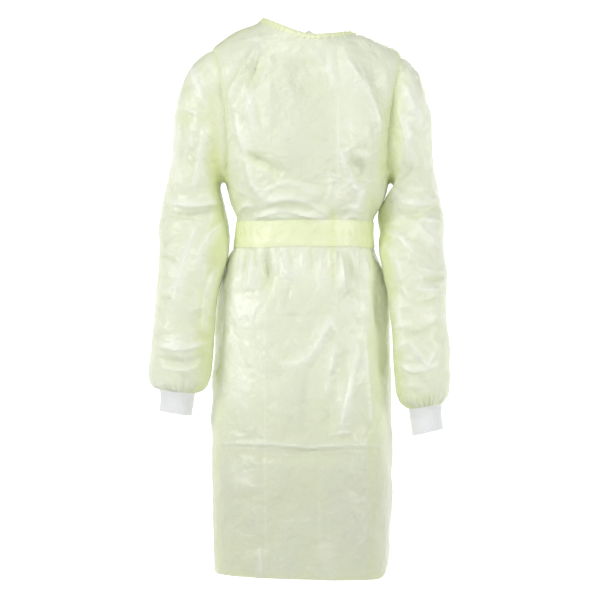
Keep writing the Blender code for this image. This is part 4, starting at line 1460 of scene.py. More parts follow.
        # Painted shade beside the side seam
        grid.turned = np.maximum(grid.turned, SEAM_SIDE_SHADE * (1.0 - ease(grid.across, *SEAM_SIDE_REACH)))
        return grid

    def back_right(self) -> ClothGrid:
        """The right back panel, under the left one.

        Returns:
            Its grid, from its free edge to the right side seam.
        """
        at = self.rows()
        angles = self.back_angles(at)[:, BACK_COLUMNS // 2 - LAP_COLUMNS :]
        grid = self.panel(at, angles, 0.0, (True, False))
        from_seam = grid.across[:, -1:] - grid.across
        # Painted shade beside the side seam
        grid.turned = np.maximum(grid.turned, SEAM_SIDE_SHADE * (1.0 - ease(from_seam, *SEAM_SIDE_REACH)))
        return grid


@dataclass(frozen=True)
class Ring:
    """A ring of a sleeve: its outer and inner point seen from the front, and its depth."""

    name: str
    x_outer: float
    z_outer: float
    x_inner: float
    z_inner: float
    y_middle: float
    half_depth: float

    def points(self, side: Side, turn: Array) -> Array:
        """Points round the ring: a cosine from its inner to its outer point, and a sine in depth.

        Args:
            side: the wearer's side.
            turn: angles from under the arm, up the front, to half a turn at the top.

        Returns:
            One point for each angle.
        """
        sign = float(side.value)
        inner = np.array([sign * self.x_inner, self.y_middle, self.z_inner])
        outer = np.array([sign * self.x_outer, self.y_middle, self.z_outer])
        points = inner + (outer - inner) * (0.5 * (1.0 - np.cos(turn)))[..., None]
        points[..., 1] -= self.half_depth * signed_power(np.sin(turn), RING_FULLNESS)
        return points


LEFT_RINGS = (
    Ring("cap", 0.2140, -0.0715, 0.1810, -0.3285, 0.014, 0.074),
    Ring("shoulder", 0.2415, -0.1010, 0.1865, -0.3330, 0.014, 0.079),
    Ring("below the shoulder", 0.2615, -0.1580, 0.1850, -0.3440, 0.018, 0.078),
    Ring("upper arm", 0.2670, -0.2350, 0.1700, -0.3620, 0.028, 0.074),
    Ring("above the elbow", 0.2750, -0.3200, 0.1535, -0.3960, 0.038, 0.069),
    Ring("elbow", 0.2905, -0.3950, 0.1590, -0.4330, 0.022, 0.067),
    Ring("below the elbow", 0.2935, -0.4700, 0.1590, -0.4720, -0.012, 0.066),
    Ring("forearm", 0.2985, -0.5450, 0.1760, -0.5480, -0.048, 0.063),
    Ring("middle forearm", 0.3020, -0.6200, 0.1870, -0.6200, -0.060, 0.059),
    Ring("low forearm", 0.3070, -0.6900, 0.1910, -0.6920, -0.064, 0.056),
    Ring("puff", 0.3050, -0.7520, 0.1970, -0.7580, -0.066, 0.051),
    Ring("puff turn", 0.2980, -0.7740, 0.2085, -0.7830, -0.066, 0.043),
    Ring("cuff seam", 0.2895, -0.7837, 0.2235, -0.7937, -0.066, 0.030),
)
RIGHT_RINGS = (
    Ring("cap", 0.2040, -0.0630, 0.1625, -0.3285, -0.024, 0.073),
    Ring("shoulder", 0.2340, -0.0930, 0.1690, -0.3330, -0.022, 0.078),
    Ring("below the shoulder", 0.2585, -0.1500, 0.1700, -0.3440, -0.018, 0.077),
    Ring("upper arm", 0.2700, -0.2350, 0.1660, -0.3640, -0.010, 0.074),
    Ring("above the elbow", 0.2790, -0.3150, 0.1590, -0.3950, -0.004, 0.070),
    Ring("elbow", 0.2955, -0.3850, 0.1540, -0.4330, -0.004, 0.068),
    Ring("below the elbow", 0.2970, -0.4700, 0.1530, -0.4780, -0.034, 0.066),
    Ring("forearm", 0.2970, -0.5450, 0.1680, -0.5480, -0.058, 0.062),
    Ring("middle forearm", 0.3025, -0.6150, 0.1765, -0.6180, -0.066, 0.058),
    Ring("low forearm", 0.3095, -0.6800, 0.1800, -0.6840, -0.068, 0.055),
    Ring("puff", 0.3090, -0.7300, 0.1860, -0.7340, -0.068, 0.050),
    Ring("puff turn", 0.2985, -0.7490, 0.1990, -0.7560, -0.067, 0.042),
    Ring("cuff seam", 0.2890, -0.7553, 0.2180, -0.7630, -0.067, 0.030),
)
LEFT_CUFF_END = Ring("cuff end", 0.2920, -0.8345, 0.2305, -0.8485, -0.067, 0.027)
RIGHT_CUFF_END = Ring("cuff end", 0.2905, -0.7995, 0.2250, -0.8095, -0.068, 0.027)

LEFT_SLEEVE_CREASES = crease_table(
    FRONT,
    ("shoulder ridge", SHARP, 9, 4, (218, -130), (233, -183), (246, -225)),
    ("shoulder slant", LAPPED, 9, 3.4, (196, -175), (214, -230), (224, -300)),
    ("elbow arc 1", LAPPED, 7, 4, (196, -366), (240, -378), (278, -362)),
    ("elbow arc 2", SOFT, 7, -3.6, (190, -388), (234, -395), (280, -380)),
    ("elbow facet top", SHARP, 5, 3, (236, -410), (262, -406), (292, -410)),
    ("elbow facet slant", SHARP, 6, 3.6, (236, -411), (262, -440), (292, -470)),
    ("inner elbow fan 1", LAPPED, 7, 3.8, (168, -430), (200, -446), (236, -474)),
    ("inner elbow fan 2", SHARP, 8, 3.8, (168, -452), (196, -490), (214, -540)),
    ("outer notch 1", SOFT, 6, -3.4, (252, -528), (276, -529), (297, -522)),
    ("outer notch 2", SHARP, 6, 3.6, (240, -550), (270, -551), (298, -546)),
    ("outer notch 3", SOFT, 6, -2.6, (234, -580), (262, -578), (292, -567)),
    ("forearm arc", SOFT, 8, -3, (196, -628), (237, -643), (290, -616)),
    ("forearm V, long side", SHARP, 7, 4.8, (224, -652), (244, -684), (263, -709)),
    ("forearm V, short side", SHARP, 6, 4, (262, -709), (270, -692), (280, -672)),
    ("low forearm arc", LAPPED, 7, 3.4, (198, -694), (231, -717), (292, -703)),
    ("inner forearm fold", SOFT, 8, 3, (192, -560), (204, -610), (206, -680)),
) + crease_table(
    BACK,
    ("back elbow arc 1", LAPPED, 8, 3.6, (180, -380), (226, -392), (276, -378)),
    ("back elbow arc 2", SHARP, 8, 4, (176, -420), (224, -430), (282, -412)),
    ("back elbow slant", LAPPED, 9, 4, (190, -440), (240, -490), (286, -560)),
    ("back upper arm drape", SHARP, 10, 4, (205, -120), (232, -220), (236, -330)),
    ("back forearm drape", LAPPED, 9, 3.8, (280, -560), (250, -640), (256, -730)),
)
RIGHT_SLEEVE_CREASES = crease_table(
    FRONT,
    ("shoulder ridge", SHARP, 9, 4.6, (-226, -80), (-208, -130), (-186, -184)),
    ("armhole arc", SHARP, 7, 3.2, (-196, -82), (-178, -100), (-164, -128)),
    ("upper arm arc", SHARP, 6, 2.8, (-252, -170), (-213, -187), (-174, -182)),
    ("upper arm drape", LAPPED, 9, 3.4, (-188, -200), (-206, -270), (-220, -350)),
    ("outer arm drape", SOFT, 8, 2.8, (-252, -200), (-258, -270), (-250, -345)),
    ("elbow arc 1", LAPPED, 7, 4.2, (-282, -366), (-227, -380), (-166, -370)),
    ("elbow arc 2", SOFT, 7, -3.4, (-272, -397), (-217, -397), (-164, -382)),
    ("inner elbow fold", LAPPED, 9, 4.8, (-157, -406), (-195, -449), (-214, -500)),
    ("long forearm ridge", SHARP, 9, 5.6, (-214, -420), (-237, -500), (-254, -578)),
    ("outer elbow line", SHARP, 5, -3, (-290, -477), (-268, -484), (-244, -496)),
    ("outer forearm line", SHARP, 5, -2.6, (-286, -568), (-255, -568)),
    ("inner forearm fold", LAPPED, 9, 3.8, (-170, -500), (-190, -560), (-196, -640)),
    ("low forearm arc 1", LAPPED, 7, 4.2, (-297, -662), (-241, -674), (-184, -659)),
    ("low forearm arc 2", SOFT, 7, -3.4, (-292, -686), (-231, -698), (-188, -682)),
    ("low forearm arc 3", SHARP, 6, 3, (-286, -706), (-240, -716), (-200, -704)),
) + crease_table(
    BACK,
    ("back elbow arc 1", LAPPED, 8, 3.8, (-282, -372), (-226, -386), (-172, -372)),
    ("back elbow arc 2", SHARP, 8, 4, (-288, -410), (-230, -424), (-170, -414)),
    ("back elbow slant", LAPPED, 9, 4, (-180, -440), (-230, -500), (-280, -570)),
    ("back upper arm drape", SHARP, 10, 4, (-196, -110), (-226, -210), (-236, -320)),
    ("back forearm drape", LAPPED, 9, 3.6, (-272, -570), (-240, -640), (-250, -710)),
)

# Doubled cloth on the sleeves. The patches along the armholes, at the inner elbows, along the inner forearm
# and under the upper arm's arc are partly doubled layers and partly painted shade on the sleeves' inner
# sides.
LEFT_SLEEVE_DOUBLED = patch_table(
    FRONT,
    ("cloth doubled along the armhole", 15, 0.85, (196, -90), (196, -200), (186, -340)),
    ("cloth doubled at the inner elbow", 12, 0.55, (176, -370), (176, -450), (188, -540)),
    ("cloth doubled on the puff", 10, 0.55, (218, -756), (250, -772), (284, -762)),
)
RIGHT_SLEEVE_DOUBLED = patch_table(
    FRONT,
    ("cloth doubled along the armhole", 17, 0.95, (-176, -140), (-180, -220), (-166, -350)),
    ("cloth doubled at the inner elbow", 12, 0.55, (-168, -370), (-176, -450), (-178, -560)),
    ("cloth doubled along the inner forearm", 13, 0.6, (-190, -560), (-196, -640), (-206, -720)),
    ("cloth doubled under the upper arm's arc", 16, 0.45, (-262, -196), (-220, -205)),
)
# Painted highlights on the sleeves, where the film catches the lights
LEFT_SLEEVE_PAINTED_LIGHT = patch_table(
    FRONT,
    ("brighter film on the upper arm", 12, 0.9, (220, -120), (234, -180), (244, -220)),
    ("brighter film on the elbow facet", 20, 0.7, (250, -425), (282, -445)),
    ("brighter film on the forearm", 22, 0.35, (250, -560), (262, -640)),
    ("paler film down the arm", 40, 0.4, (215, -80), (250, -260), (268, -500), (275, -730)),
)
RIGHT_SLEEVE_PAINTED_LIGHT = patch_table(
    FRONT,
    ("brighter film on the shoulder ridge", 12, 0.7, (-226, -85), (-200, -160)),
    ("brighter film on the forearm", 26, 0.4, (-250, -440), (-262, -560)),
    ("brighter film on the long ridge", 10, 0.5, (-214, -430), (-236, -500), (-250, -575)),
)


# Small creases of a sleeve, their seeds counted from the sleeve's own and their X from the middle outward
ARM_RANGE = (0.17, 0.30)
ARM_STREWN = (
    Strewn(1, 34, FRONT, ARM_RANGE, (-0.36, -0.08), (40.0, 140.0), (0.02, 0.07), (0.003, 0.006), 0.0018),
    Strewn(2, 44, FRONT, ARM_RANGE, (-0.76, -0.36), (-50.0, 50.0), (0.02, 0.07), (0.003, 0.006), 0.0018),
    Strewn(3, 32, BACK, ARM_RANGE, (-0.36, -0.08), (40.0, 140.0), (0.02, 0.08), (0.003, 0.007), 0.0018),
    Strewn(4, 44, BACK, ARM_RANGE, (-0.76, -0.36), (-50.0, 50.0), (0.02, 0.07), (0.003, 0.006), 0.0018),
)
ARM_CRUMPLES = (Crumple(5, 0.085, 0.0021), Crumple(6, 0.042, 0.0010), Crumple(7, 0.022, 0.0003))


@dataclass(frozen=True)
class Arm:
    """The tables of one sleeve and its cuff, and the seed that its drawn creases are counted from."""

    rings: tuple[Ring, ...]
    cuff_end: Ring
    laid: tuple[Crease, ...]
    doubled: tuple[Crease, ...]
    painted_light_patches: tuple[Crease, ...]
    seed: int

    def creases(self, side: Side) -> Creases:
        """All the sleeve's creases.

        Args:
            side: the wearer's side, whose sign goes on the drawn creases' X.

        Returns:
            The creases from the tables with the drawn ones and the crumples.
        """
        ends = sorted(side.value * end for end in ARM_RANGE)
        strewn = ()
        for group in ARM_STREWN:
            strewn += tuple(replace(group, seed=self.seed + group.seed, x_range=tuple(ends)).creases())
        crumples = tuple(replace(crumple, seed=self.seed + crumple.seed) for crumple in ARM_CRUMPLES)
        return Creases((), self.laid + strewn, crumples, self.doubled, self.painted_light_patches)


ARMS = {
    Side.LEFT: Arm(
        LEFT_RINGS, LEFT_CUFF_END, LEFT_SLEEVE_CREASES, LEFT_SLEEVE_DOUBLED, LEFT_SLEEVE_PAINTED_LIGHT, 41
    ),
    Side.RIGHT: Arm(
        RIGHT_RINGS, RIGHT_CUFF_END, RIGHT_SLEEVE_CREASES, RIGHT_SLEEVE_DOUBLED, RIGHT_SLEEVE_PAINTED_LIGHT, 51
    ),
}


@dataclass(frozen=True)
class Sleeve:
    """A set-in sleeve: smooth through its armhole's edge and its rings, gathered at both ends."""

    side: Side
    body: Body
    rings: tuple[Ring, ...]
    creases: Creases
    head_gathers: int = 31
    head_height: float = 0.0007
    wrist_gathers: int = 29
    fine_wrist_gathers: int = 19
    wrist_height: float = 0.0014
    wrist_length: float = 0.055
    inner_calm: float = 0.55
    painted_inner_shade: float = 0.85
    column_radius: float = 0.07
    seam_line: float = 0.008

    def armhole(self) -> Array:
        """Points round the armhole's edge, from under the arm up the front edge and down the back one.

        Returns:
            One point for each column of the sleeve.
        """
        at = self.body.armhole_stations()
        front, back = self.body.edges(at)
        at = np.concatenate([at, at[-2:0:-1]])
        angle = float(self.side.value) * np.concatenate([front, back[-2:0:-1]])
        return self.body.surface(at, angle)[0]

    def turn(self) -> Array:
        """Angles of the sleeve's columns."""
        count = 2 * ARMHOLE_ROWS
        return 2.0 * np.pi * np.arange(count) / count

    def gathers(self, turn: Array, down: Array, to_cuff: Array) -> Array:
        """Heights of the gathers at the sleeve's head and wrist.

        They are waves round the sleeve whose height rises towards the seams, with slow second waves that make
        them uneven.

        Args:
            turn: angles of the columns.
            down: length from the armhole.
            to_cuff: length left to the cuff's seam.

        Returns:
            The height at each point.
        """
        uneven = turn + 0.35 * np.sin(3.0 * turn + 1.0) + 0.12 * np.sin(7.0 * turn)
        head = np.sin(self.head_gathers * uneven) * (0.6 + 0.4 * np.sin(2.0 * turn + 0.4))
        spread = turn + 0.10 * np.sin(3.0 * turn + 1.0) + 0.05 * np.sin(7.0 * turn)
        wrist = np.sin(self.wrist_gathers * spread) + 0.5 * np.sin(self.fine_wrist_gathers * spread + 1.0)
        length = self.wrist_length + 0.012 * np.sin(5.0 * turn)
        near_cuff = ease(to_cuff, length, 0.004) * ease(to_cuff, -0.002, 0.006)
        return self.head_height * head * hump(down, 0.006, 0.006) + self.wrist_height * wrist * near_cuff

    def grid(self) -> ClothGrid:
        """The sleeve's grid, its rows an even length apart from the armhole to the cuff's seam.

        Returns:
            The grid with its creases, gathers, seams and values.
        """
        turn = self.turn()
        knots = np.stack([self.armhole(), *(ring.points(self.side, turn) for ring in self.rings)])
        fine = np.linspace(0.0, len(knots) - 1.0, SLEEVE_FINE_STEPS)
        reached = run(through(knots, fine), 0).mean(axis=1)
        at = np.interp(np.linspace(0.0, reached[-1], SLEEVE_ROWS), reached, fine)
        points = through(knots, at)
        if self.side is Side.LEFT:
            points, turn = points[:, ::-1], turn[::-1]
        normal = grid_normals(points, wrap=True)
        down = run(points, 0)
        to_cuff = down[-1:] - down
        forward = -normal[..., 1]
        front, back = ease(forward, 0.0, 0.5), ease(-forward, 0.0, 0.5)
        inner_side = ease(np.cos(turn), 0.35, 0.95)[None, :]
        calm = ease(down, 0.002, 0.022) * (1.0 - self.inner_calm * inner_side) * ease(to_cuff, 0.0, 0.012)
        laid = self.creases.laid_rise(points[..., 0], points[..., 2], front, back)
        height = calm * (laid + self.creases.crumple_rise(points)) + self.gathers(turn, down, to_cuff)
        points = points + normal * height[..., None]
        from_seam = within_half_turn(turn)[None, :] * self.column_radius
        band = np.maximum(1.0 - ease(down, 0.0075, 0.0095), 1.0 - ease(from_seam, 0.007, 0.009))
        band = ARMHOLE_TINT * np.maximum(band, 1.0 - ease(to_cuff, 0.005, 0.008))
        ridge = hump(from_seam, self.seam_line, RIDGE_WIDTH) * ease(down, 0.01, 0.02)
        ridge = ridge + hump(down, self.seam_line + 0.0005, RIDGE_WIDTH)
        points = points + normal * (SEAM_RIDGE * ridge)[..., None]
        across = np.broadcast_to(turn[None, :] * self.column_radius, down.shape)
        # Painted shade in the troughs of creases, and less colour on their crests
        hollow = 0.5 - height / HOLLOW_DEPTH
        # Painted shade on the sleeve's inner side, towards the body
        turned = np.broadcast_to(self.painted_inner_shade * inner_side, down.shape)
        doubled, tone = self.creases.patches(points, front, back)
        return ClothGrid(points, across, down, np.maximum(band, doubled), hollow, turned, tone, wrap=True)


@dataclass(frozen=True)
class Cuff:
    """A rib-knit tube between a sleeve's seam and the wrist's end."""

    side: Side
    seam: Ring
    end: Ring
    ribs: int = 56
    steps: int = 6
    rows: int = 30
    rib_height: float = 0.0011
    rib_roundness: float = 0.8
    drawn_in: float = 0.0012
    end_rounding: float = 0.0010
    sag: float = 0.0009
    thickness: float = 0.0018
    courses: float = 34.0

    def grid(self) -> ClothGrid:
        """The cuff's grid: a straight run between its two rings, with a rounded wave for each rib.

        Its radius draws in a little at mid height, and its end is rounded over.

        Returns:
            The grid, whose cloth coordinates count ribs across and courses along.
        """
        turn = 2.0 * np.pi * np.arange(self.ribs * self.steps) / (self.ribs * self.steps)
        if self.side is Side.LEFT:
            turn = turn[::-1]
        share = np.linspace(0.0, 1.0, self.rows)[:, None]
        top, bottom = self.seam.points(self.side, turn), self.end.points(self.side, turn)
        points = top + (bottom - top) * share[..., None]
        away = points - points.mean(axis=1, keepdims=True)
        away[..., 2] = 0.0
        away = unit(away)
        wave = self.rib_height * (np.abs(np.sin(0.5 * self.ribs * turn)) ** self.rib_roundness)
        wave = wave * (0.35 + 0.65 * ease(share, 0.0, 0.1))
        drawn = self.drawn_in * np.sin(np.pi * share) + self.end_rounding * ease(share, 0.93, 1.0)
        sag = self.sag * np.sin(3.0 * turn + 4.0 * share) * np.sin(np.pi * share)
        points = points + away * (wave - drawn + sag)[..., None]
        ribs = np.broadcast_to(self.ribs * turn / (2.0 * np.pi), points.shape[:2])
        course = np.broadcast_to(self.courses * share, points.shape[:2])
        nothing = np.zeros(points.shape[:2])
        return ClothGrid(points, ribs, course, nothing, nothing, nothing, nothing, wrap=True)


@dataclass(frozen=True)
class Belt:
    """The waist belt: a band folded double, laid on the gown between its two belt sections."""

    body: Body
    columns: int = 460
    rows: int = 13
    lap_end: tuple[float, float] = (3.64, 3.70)
    seams: tuple[float, float] = (0.07, 0.93)

    def points_at(self, share: Array, angle: Array) -> Array:
        """Outer points of the belt.

        The edges wander by about a millimetre, the face swells a little between its seams and the corners
        of its section are rounded.

        Args:
            share: places up the belt, from its lower edge at 0 to its upper edge at 1.
            angle: angles round the body.

        Returns:
            One point for each place and angle.
        """
        wander = 0.020 * np.sin(3.0 * angle + 0.6) + 0.014 * np.sin(7.0 * angle + 2.0)
        wander = wander + 0.006 * np.sin(17.0 * angle)
        at = BELT_LOW + share + wander
        past_start = angle % (2.0 * np.pi)
        lap = self.body.lap_rise(at, past_start) * (1.0 - ease(past_start, *self.lap_end))
        near_edge = np.minimum(share, 1.0 - share)
        face = 0.0007 * ease(near_edge, 0.05, 0.22) - 0.0006 * (1.0 - ease(near_edge, 0.0, 0.04))
        ripple = 0.0002 * np.sin(46.0 * angle + 5.0 * share + 2.0 * np.sin(5.0 * angle))
        ripple += 0.0004 * np.sin(17.0 * angle - 3.0 * share + 3.0 * np.sin(3.0 * angle))
        rise = BELT_REST + BELT_THICKNESS + lap + face + ripple * ease(near_edge, 0.0, 0.2)
        return self.body.surface(at, angle, rise)[0]

    def grid(self) -> ClothGrid:
        """The belt's grid, once round from the centre back.

        Returns:
            The grid, its rows from the lower edge to the upper one.
        """
        angle = np.pi + 2.0 * np.pi * np.arange(self.columns) / self.columns
        share = np.linspace(0.0, 1.0, self.rows)[:, None]
        points = self.points_at(share, angle[None, :])
        # Painted shade along the belt's middle and a little over all of it, and painted shade on its sides
        hollow = 0.6 * hump(share, 0.5, 0.06) + 0.25
        sides = 0.35 * np.abs(np.sin(angle)) ** 4
        front = np.broadcast_to(facing(angle)[0], points.shape[:2])
        doubled, tone = self.body.creases.patches(points, front, np.zeros_like(front))
        values = {"doubled": 0.42 + 0.5 * doubled, "hollow": hollow, "turned": sides, "tone": tone}
        return ClothGrid.even(points, wrap=True, **values)


@dataclass(frozen=True)
class Binding:
    """The neck binding: a strip folded over the neckline's edge, open at the centre back."""

    body: Body
    columns: int = 440
    leaf_rows: int = 7
    fold_rows: int = 6
    end_deg: float = 208.0
    low_edge: float = 0.24
    pucker: float = 0.00035
    swell: float = 0.0005
    inner_rests: float = 2.6
    fold_height: float = 1.35

    def grid(self) -> ClothGrid:
        """The binding's grid: up its outer leaf, over the edge in a half round, and down its inner leaf.

        Returns:
            The grid, open at the centre back.
        """
        angle = np.radians(np.linspace(-self.end_deg, self.end_deg, self.columns))[None, :]
        leaf = np.linspace(BINDING_LOW + self.low_edge, TOP, self.leaf_rows)[:, None]
        rise = self.body.lap_rise(leaf, angle)
        puckers = self.pucker * np.sin(52.5 * angle + 2.0 * np.sin(9.0 * angle))
        swell = self.swell * np.sin(np.pi * (leaf - leaf[0]) / (leaf[-1] - leaf[0]))
        outer = self.body.surface(leaf, angle, rise + BINDING_REST + swell + puckers)[0]
        inner = self.body.surface(leaf, angle, rise - self.inner_rests * BINDING_REST - swell)[0]
        middle, reach = 0.5 * (outer[-1] + inner[-1]), 0.5 * (outer[-1] - inner[-1])
        up = unit(outer[-1] - outer[-2]) * np.linalg.norm(reach, axis=-1, keepdims=True)
        bend = (np.pi * np.arange(1, self.fold_rows) / self.fold_rows)[:, None, None]
        over = middle + reach * np.cos(bend) + self.fold_height * up * np.sin(bend)
        points = np.concatenate([outer, over, inner[::-1]])
        # Painted shade towards the binding's sides, and a little painted shade over all of it
        shade = 0.35 * np.sin(angle) ** 2
        return ClothGrid.even(points, doubled=0.55, hollow=shade, turned=shade, tone=0.35)


@dataclass(frozen=True)
class Tie:
    """A tie's free end on the back: its node, where it runs from and to, and its widths."""

    node: str
    side: Side
    station_from: float
    station_to: float
    degrees_from: float
    degrees_to: float
    width_from: float
    width: float
    rows: int = 90
    columns: int = 15
    wave: float = 0.0030
    pleat_height: float = 0.0016
    curl: float = 0.0020

    def grid(self, body: Body, under_knot: Array) -> ClothGrid:
        """The tie's grid: a strip along a path just off the back, gathered where it leaves its knot.

        Args:
            body: the gown's body, which the path follows.
            under_knot: where the tie leaves its knot.

        Returns:
            The strip, with pleats that open out below the knot and a soft curl of its sides.
        """
        sign = float(self.side.value)
        share = np.linspace(0.0, 1.0, self.rows)
        at = self.station_from + (self.station_to - self.station_from) * share
        degrees = self.degrees_from + (self.degrees_to - self.degrees_from) * share
        angle = np.radians(180.0 - sign * degrees)
        normal = body.normals(at, angle)
        upward = np.array([0.0, 0.0, 1.0])
        wave = self.wave * np.sin(7.0 * share + sign) * ease(share, 0.25, 0.5)
        middle = body.plain(at, angle) + normal * (TIE_RISE + wave)[:, None]
        settled = ease(share, 0.0, 0.5)[:, None]
        beside = sign * 0.6 * self.width_from * np.array([1.0, 0.0, 0.0])
        middle = middle + (under_knot + beside - middle[0]) * (1.0 - settled)
        outward = unit(np.array([0.0, 1.0, 0.0]) * (1.0 - settled) + normal * settled)
        across = unit(np.cross(outward, np.gradient(middle, axis=0)))
        width = self.width_from + (self.width - self.width_from) * ease(share, 0.0, 0.3)
        place = np.linspace(-1.0, 1.0, self.columns)
        waves = np.cos(9.0 * place)
        slant = 0.12 * self.width * place[None, :, None] * upward * ease(share, 0.9, 1.0)[:, None, None]
        points = middle[:, None] + 0.5 * width[:, None, None] * place[None, :, None] * across[:, None]
        pleats = self.pleat_height * waves[None, :] * (1.0 - 0.75 * ease(share, 0.0, 0.5))[:, None]
        curling = self.curl * np.sin(5.0 * share + 1.0) * ease(share, 0.1, 0.5)
        curl = (place**2)[None, :] * curling[:, None]
        points = points + outward[:, None] * (pleats + curl)[..., None] + slant
        if np.mean(np.sum(grid_normals(points, False)[:, self.columns // 2] * outward, axis=-1)) < 0.0:
            points = points[:, ::-1]
        # Painted shade that rises and falls with the tie's pleats
        return ClothGrid.even(points, doubled=0.6, hollow=0.3 + 0.3 * waves, tone=0.5)


# Columns: node, side, stations from and to, degrees from and to, widths at the knot and at the end
BELT_TAILS = (
    Tie("belt_tail_left", Side.LEFT, 6.10, 2.20, 3.8, 13.0, 0.013, 0.040),
    Tie("belt_tail_right", Side.RIGHT, 6.10, 2.70, 3.8, 16.0, 0.013, 0.040),
)
NECK_TIES = (
    Tie("neck_tie_left", Side.LEFT, 15.10, 12.40, 2.0, 9.0, 0.006, 0.010, columns=7),
    Tie("neck_tie_right", Side.RIGHT, 15.10, 12.80, 2.0, 12.0, 0.006, 0.010, columns=7),
)


@dataclass(frozen=True)
class Knot:
    """A knot of a flat tie: a lump pleated to both sides, with a turn of the tie wrapped over it."""

    name: str
    pleats: int = 7
    rows: int = 41
    columns: int = 84
    lump_reach: tuple[float, float, float] = (0.98, 0.86, 0.80)
    wrap_columns: int = 96
    wrap_rows: int = 20
    wrap_width: float = 0.40
    wrap_thickness: float = 0.14
    wrap_slant: float = 0.16
    wrap_reach: tuple[float, float] = (0.84, 0.86)

    def box(self) -> tuple[Array, Array]:
        """Middle and half sizes of the knot's solid."""
        low, high = (np.array(corner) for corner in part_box(self.name))
        return 0.5 * (low + high), 0.5 * (high - low)

    def lump(self, half: Array) -> tuple[Array, list]:
        """The pleated lump: a rounded spindle along X whose radius waves more towards its two ends.

        Args:
            half: half sizes of the knot's solid.

        Returns:
            Its points, and its faces as lists of point numbers.
        """
        lean = np.linspace(-0.5 * np.pi, 0.5 * np.pi, self.rows + 2)[1:-1, None]
        turn = (2.0 * np.pi * np.arange(self.columns) / self.columns)[None, :]
        pleats = 0.10 * np.abs(np.sin(lean)) ** 0.7 * np.cos(self.pleats * turn + 1.5 * lean)
        radius = np.cos(lean) ** 0.62 * (1.0 + pleats)
        across, deep, tall = half * np.array(self.lump_reach)
        x = across * np.sin(lean) + 0.0 * turn
        y, z = deep * radius * np.cos(turn), tall * radius * np.sin(turn)
        points = np.stack([x, y, z], -1).reshape(-1, 3)
        ends = np.array([[-half[0] * 0.99, 0.0, 0.0], [half[0] * 0.99, 0.0, 0.0]])
        count, top = len(points), len(points) - self.columns
        pairs = [(here, (here + 1) % self.columns) for here in range(self.columns)]
        fans = [[count, there, here] for here, there in pairs]
        fans += [[count + 1, top + here, top + there] for here, there in pairs]
        return np.concatenate([points, ends]), quads(self.rows, self.columns, False, True).tolist() + fans

    def wrap(self, half: Array) -> tuple[Array, Array]:
        """The wrapped turn: a flat oval profile carried once round the lump's middle, slanting to one side.

        Args:
            half: half sizes of the knot's solid.

        Returns:
            Its points and its quads.
        """
        turn = (2.0 * np.pi * np.arange(self.wrap_columns) / self.wrap_columns)[None, :]
        around = (2.0 * np.pi * np.arange(self.wrap_rows) / self.wrap_rows)[:, None]
        wide = half[0] * (self.wrap_width + 0.05 * np.sin(2.0 * turn + 0.5))
        thick = half[1] * (self.wrap_thickness + 0.03 * np.cos(3.0 * turn))
        pleat = 1.0 + 0.16 * np.cos(5.0 * around) * np.clip(np.cos(around), 0.0, 1.0)
        out = thick * np.cos(around) * pleat
        x = wide * np.sin(around) + half[0] * self.wrap_slant * np.sin(turn)
        y = (half[1] * self.wrap_reach[0] + out) * np.cos(turn)
        z = (half[2] * self.wrap_reach[1] + out) * np.sin(turn)
        return np.stack([x, y, z], -1).reshape(-1, 3), quads(self.wrap_rows, self.wrap_columns, True, True)

    def build(self) -> bpy.types.Object:
        """Makes the knot in its solid's box.

        Returns:
            The lump and its wrapped turn as one object.
        """
        middle, half = self.box()
        points, faces = self.lump(half)
        more, turns = self.wrap(half)
        faces += (turns + len(points)).tolist()
        every = np.concatenate([points, more]) + middle
        return turn_outward(make_object(f"{self.name}_cloth", every, faces))


@dataclass(frozen=True)
class Stitches:
    """A row of sewn stitches on a line of points: small eight-sided beads, longer than wide."""

    name: str
    pitch: float = STITCH_PITCH
    length: float = 0.0023
    width: float = 0.00065
    height: float = 0.0004

    def build(self, lines: Iterable[tuple[Array, Array]]) -> bpy.types.Object:
        """Makes the stitches of several lines as one mesh.

        Each stitch has two ends along the line, two sides across it, a top and a bottom.

        Args:
            lines: points and normals along each line.

        Returns:
            The joined stitches.
        """
        centres, alongs, normals = [], [], []
        for points, normal in lines:
            reached = run(points[None], 1)[0]
            place = np.interp(np.arange(self.pitch, reached[-1], self.pitch), reached, np.arange(len(points)))
            low = np.minimum(place.astype(int), len(points) - 2)
            share = (place - low)[:, None]
            centres.append(points[low] * (1.0 - share) + points[low + 1] * share)
            alongs.append(unit(points[low + 1] - points[low]))
            normals.append(normal[low])
        centre, along, normal = (np.concatenate(parts) for parts in (centres, alongs, normals))
        side = np.cross(normal, along)
        corners = np.stack(
            [
                centre - 0.5 * self.length * along,
                centre + 0.5 * self.length * along,
                centre - 0.5 * self.width * side,
                centre + 0.5 * self.width * side,
                centre + self.height * normal,
                centre - 0.5 * self.height * normal,
            ],
            axis=1,
        )
        round_it = ((0, 2), (2, 1), (1, 3), (3, 0))
        sides = np.array([[a, b, 4] for a, b in round_it] + [[b, a, 5] for a, b in round_it])
        faces = sides[None] + 6 * np.arange(len(centre))[:, None, None]
        return make_object(self.name, corners.reshape(-1, 3), faces.reshape(-1, 3).tolist())


@dataclass(frozen=True)
class Cut:
    """What a piece of cloth was cut to: its width and length, its area and how it is held."""

    width: float
    length: float
    area: float
    held: str
    rests_on: tuple[str, ...] = ()


@dataclass
class Finishes:
    """The gown's materials, made once."""

    cloth: bpy.types.Material
    doubled: bpy.types.Material
    knit: bpy.types.Material
    thread: bpy.types.Material


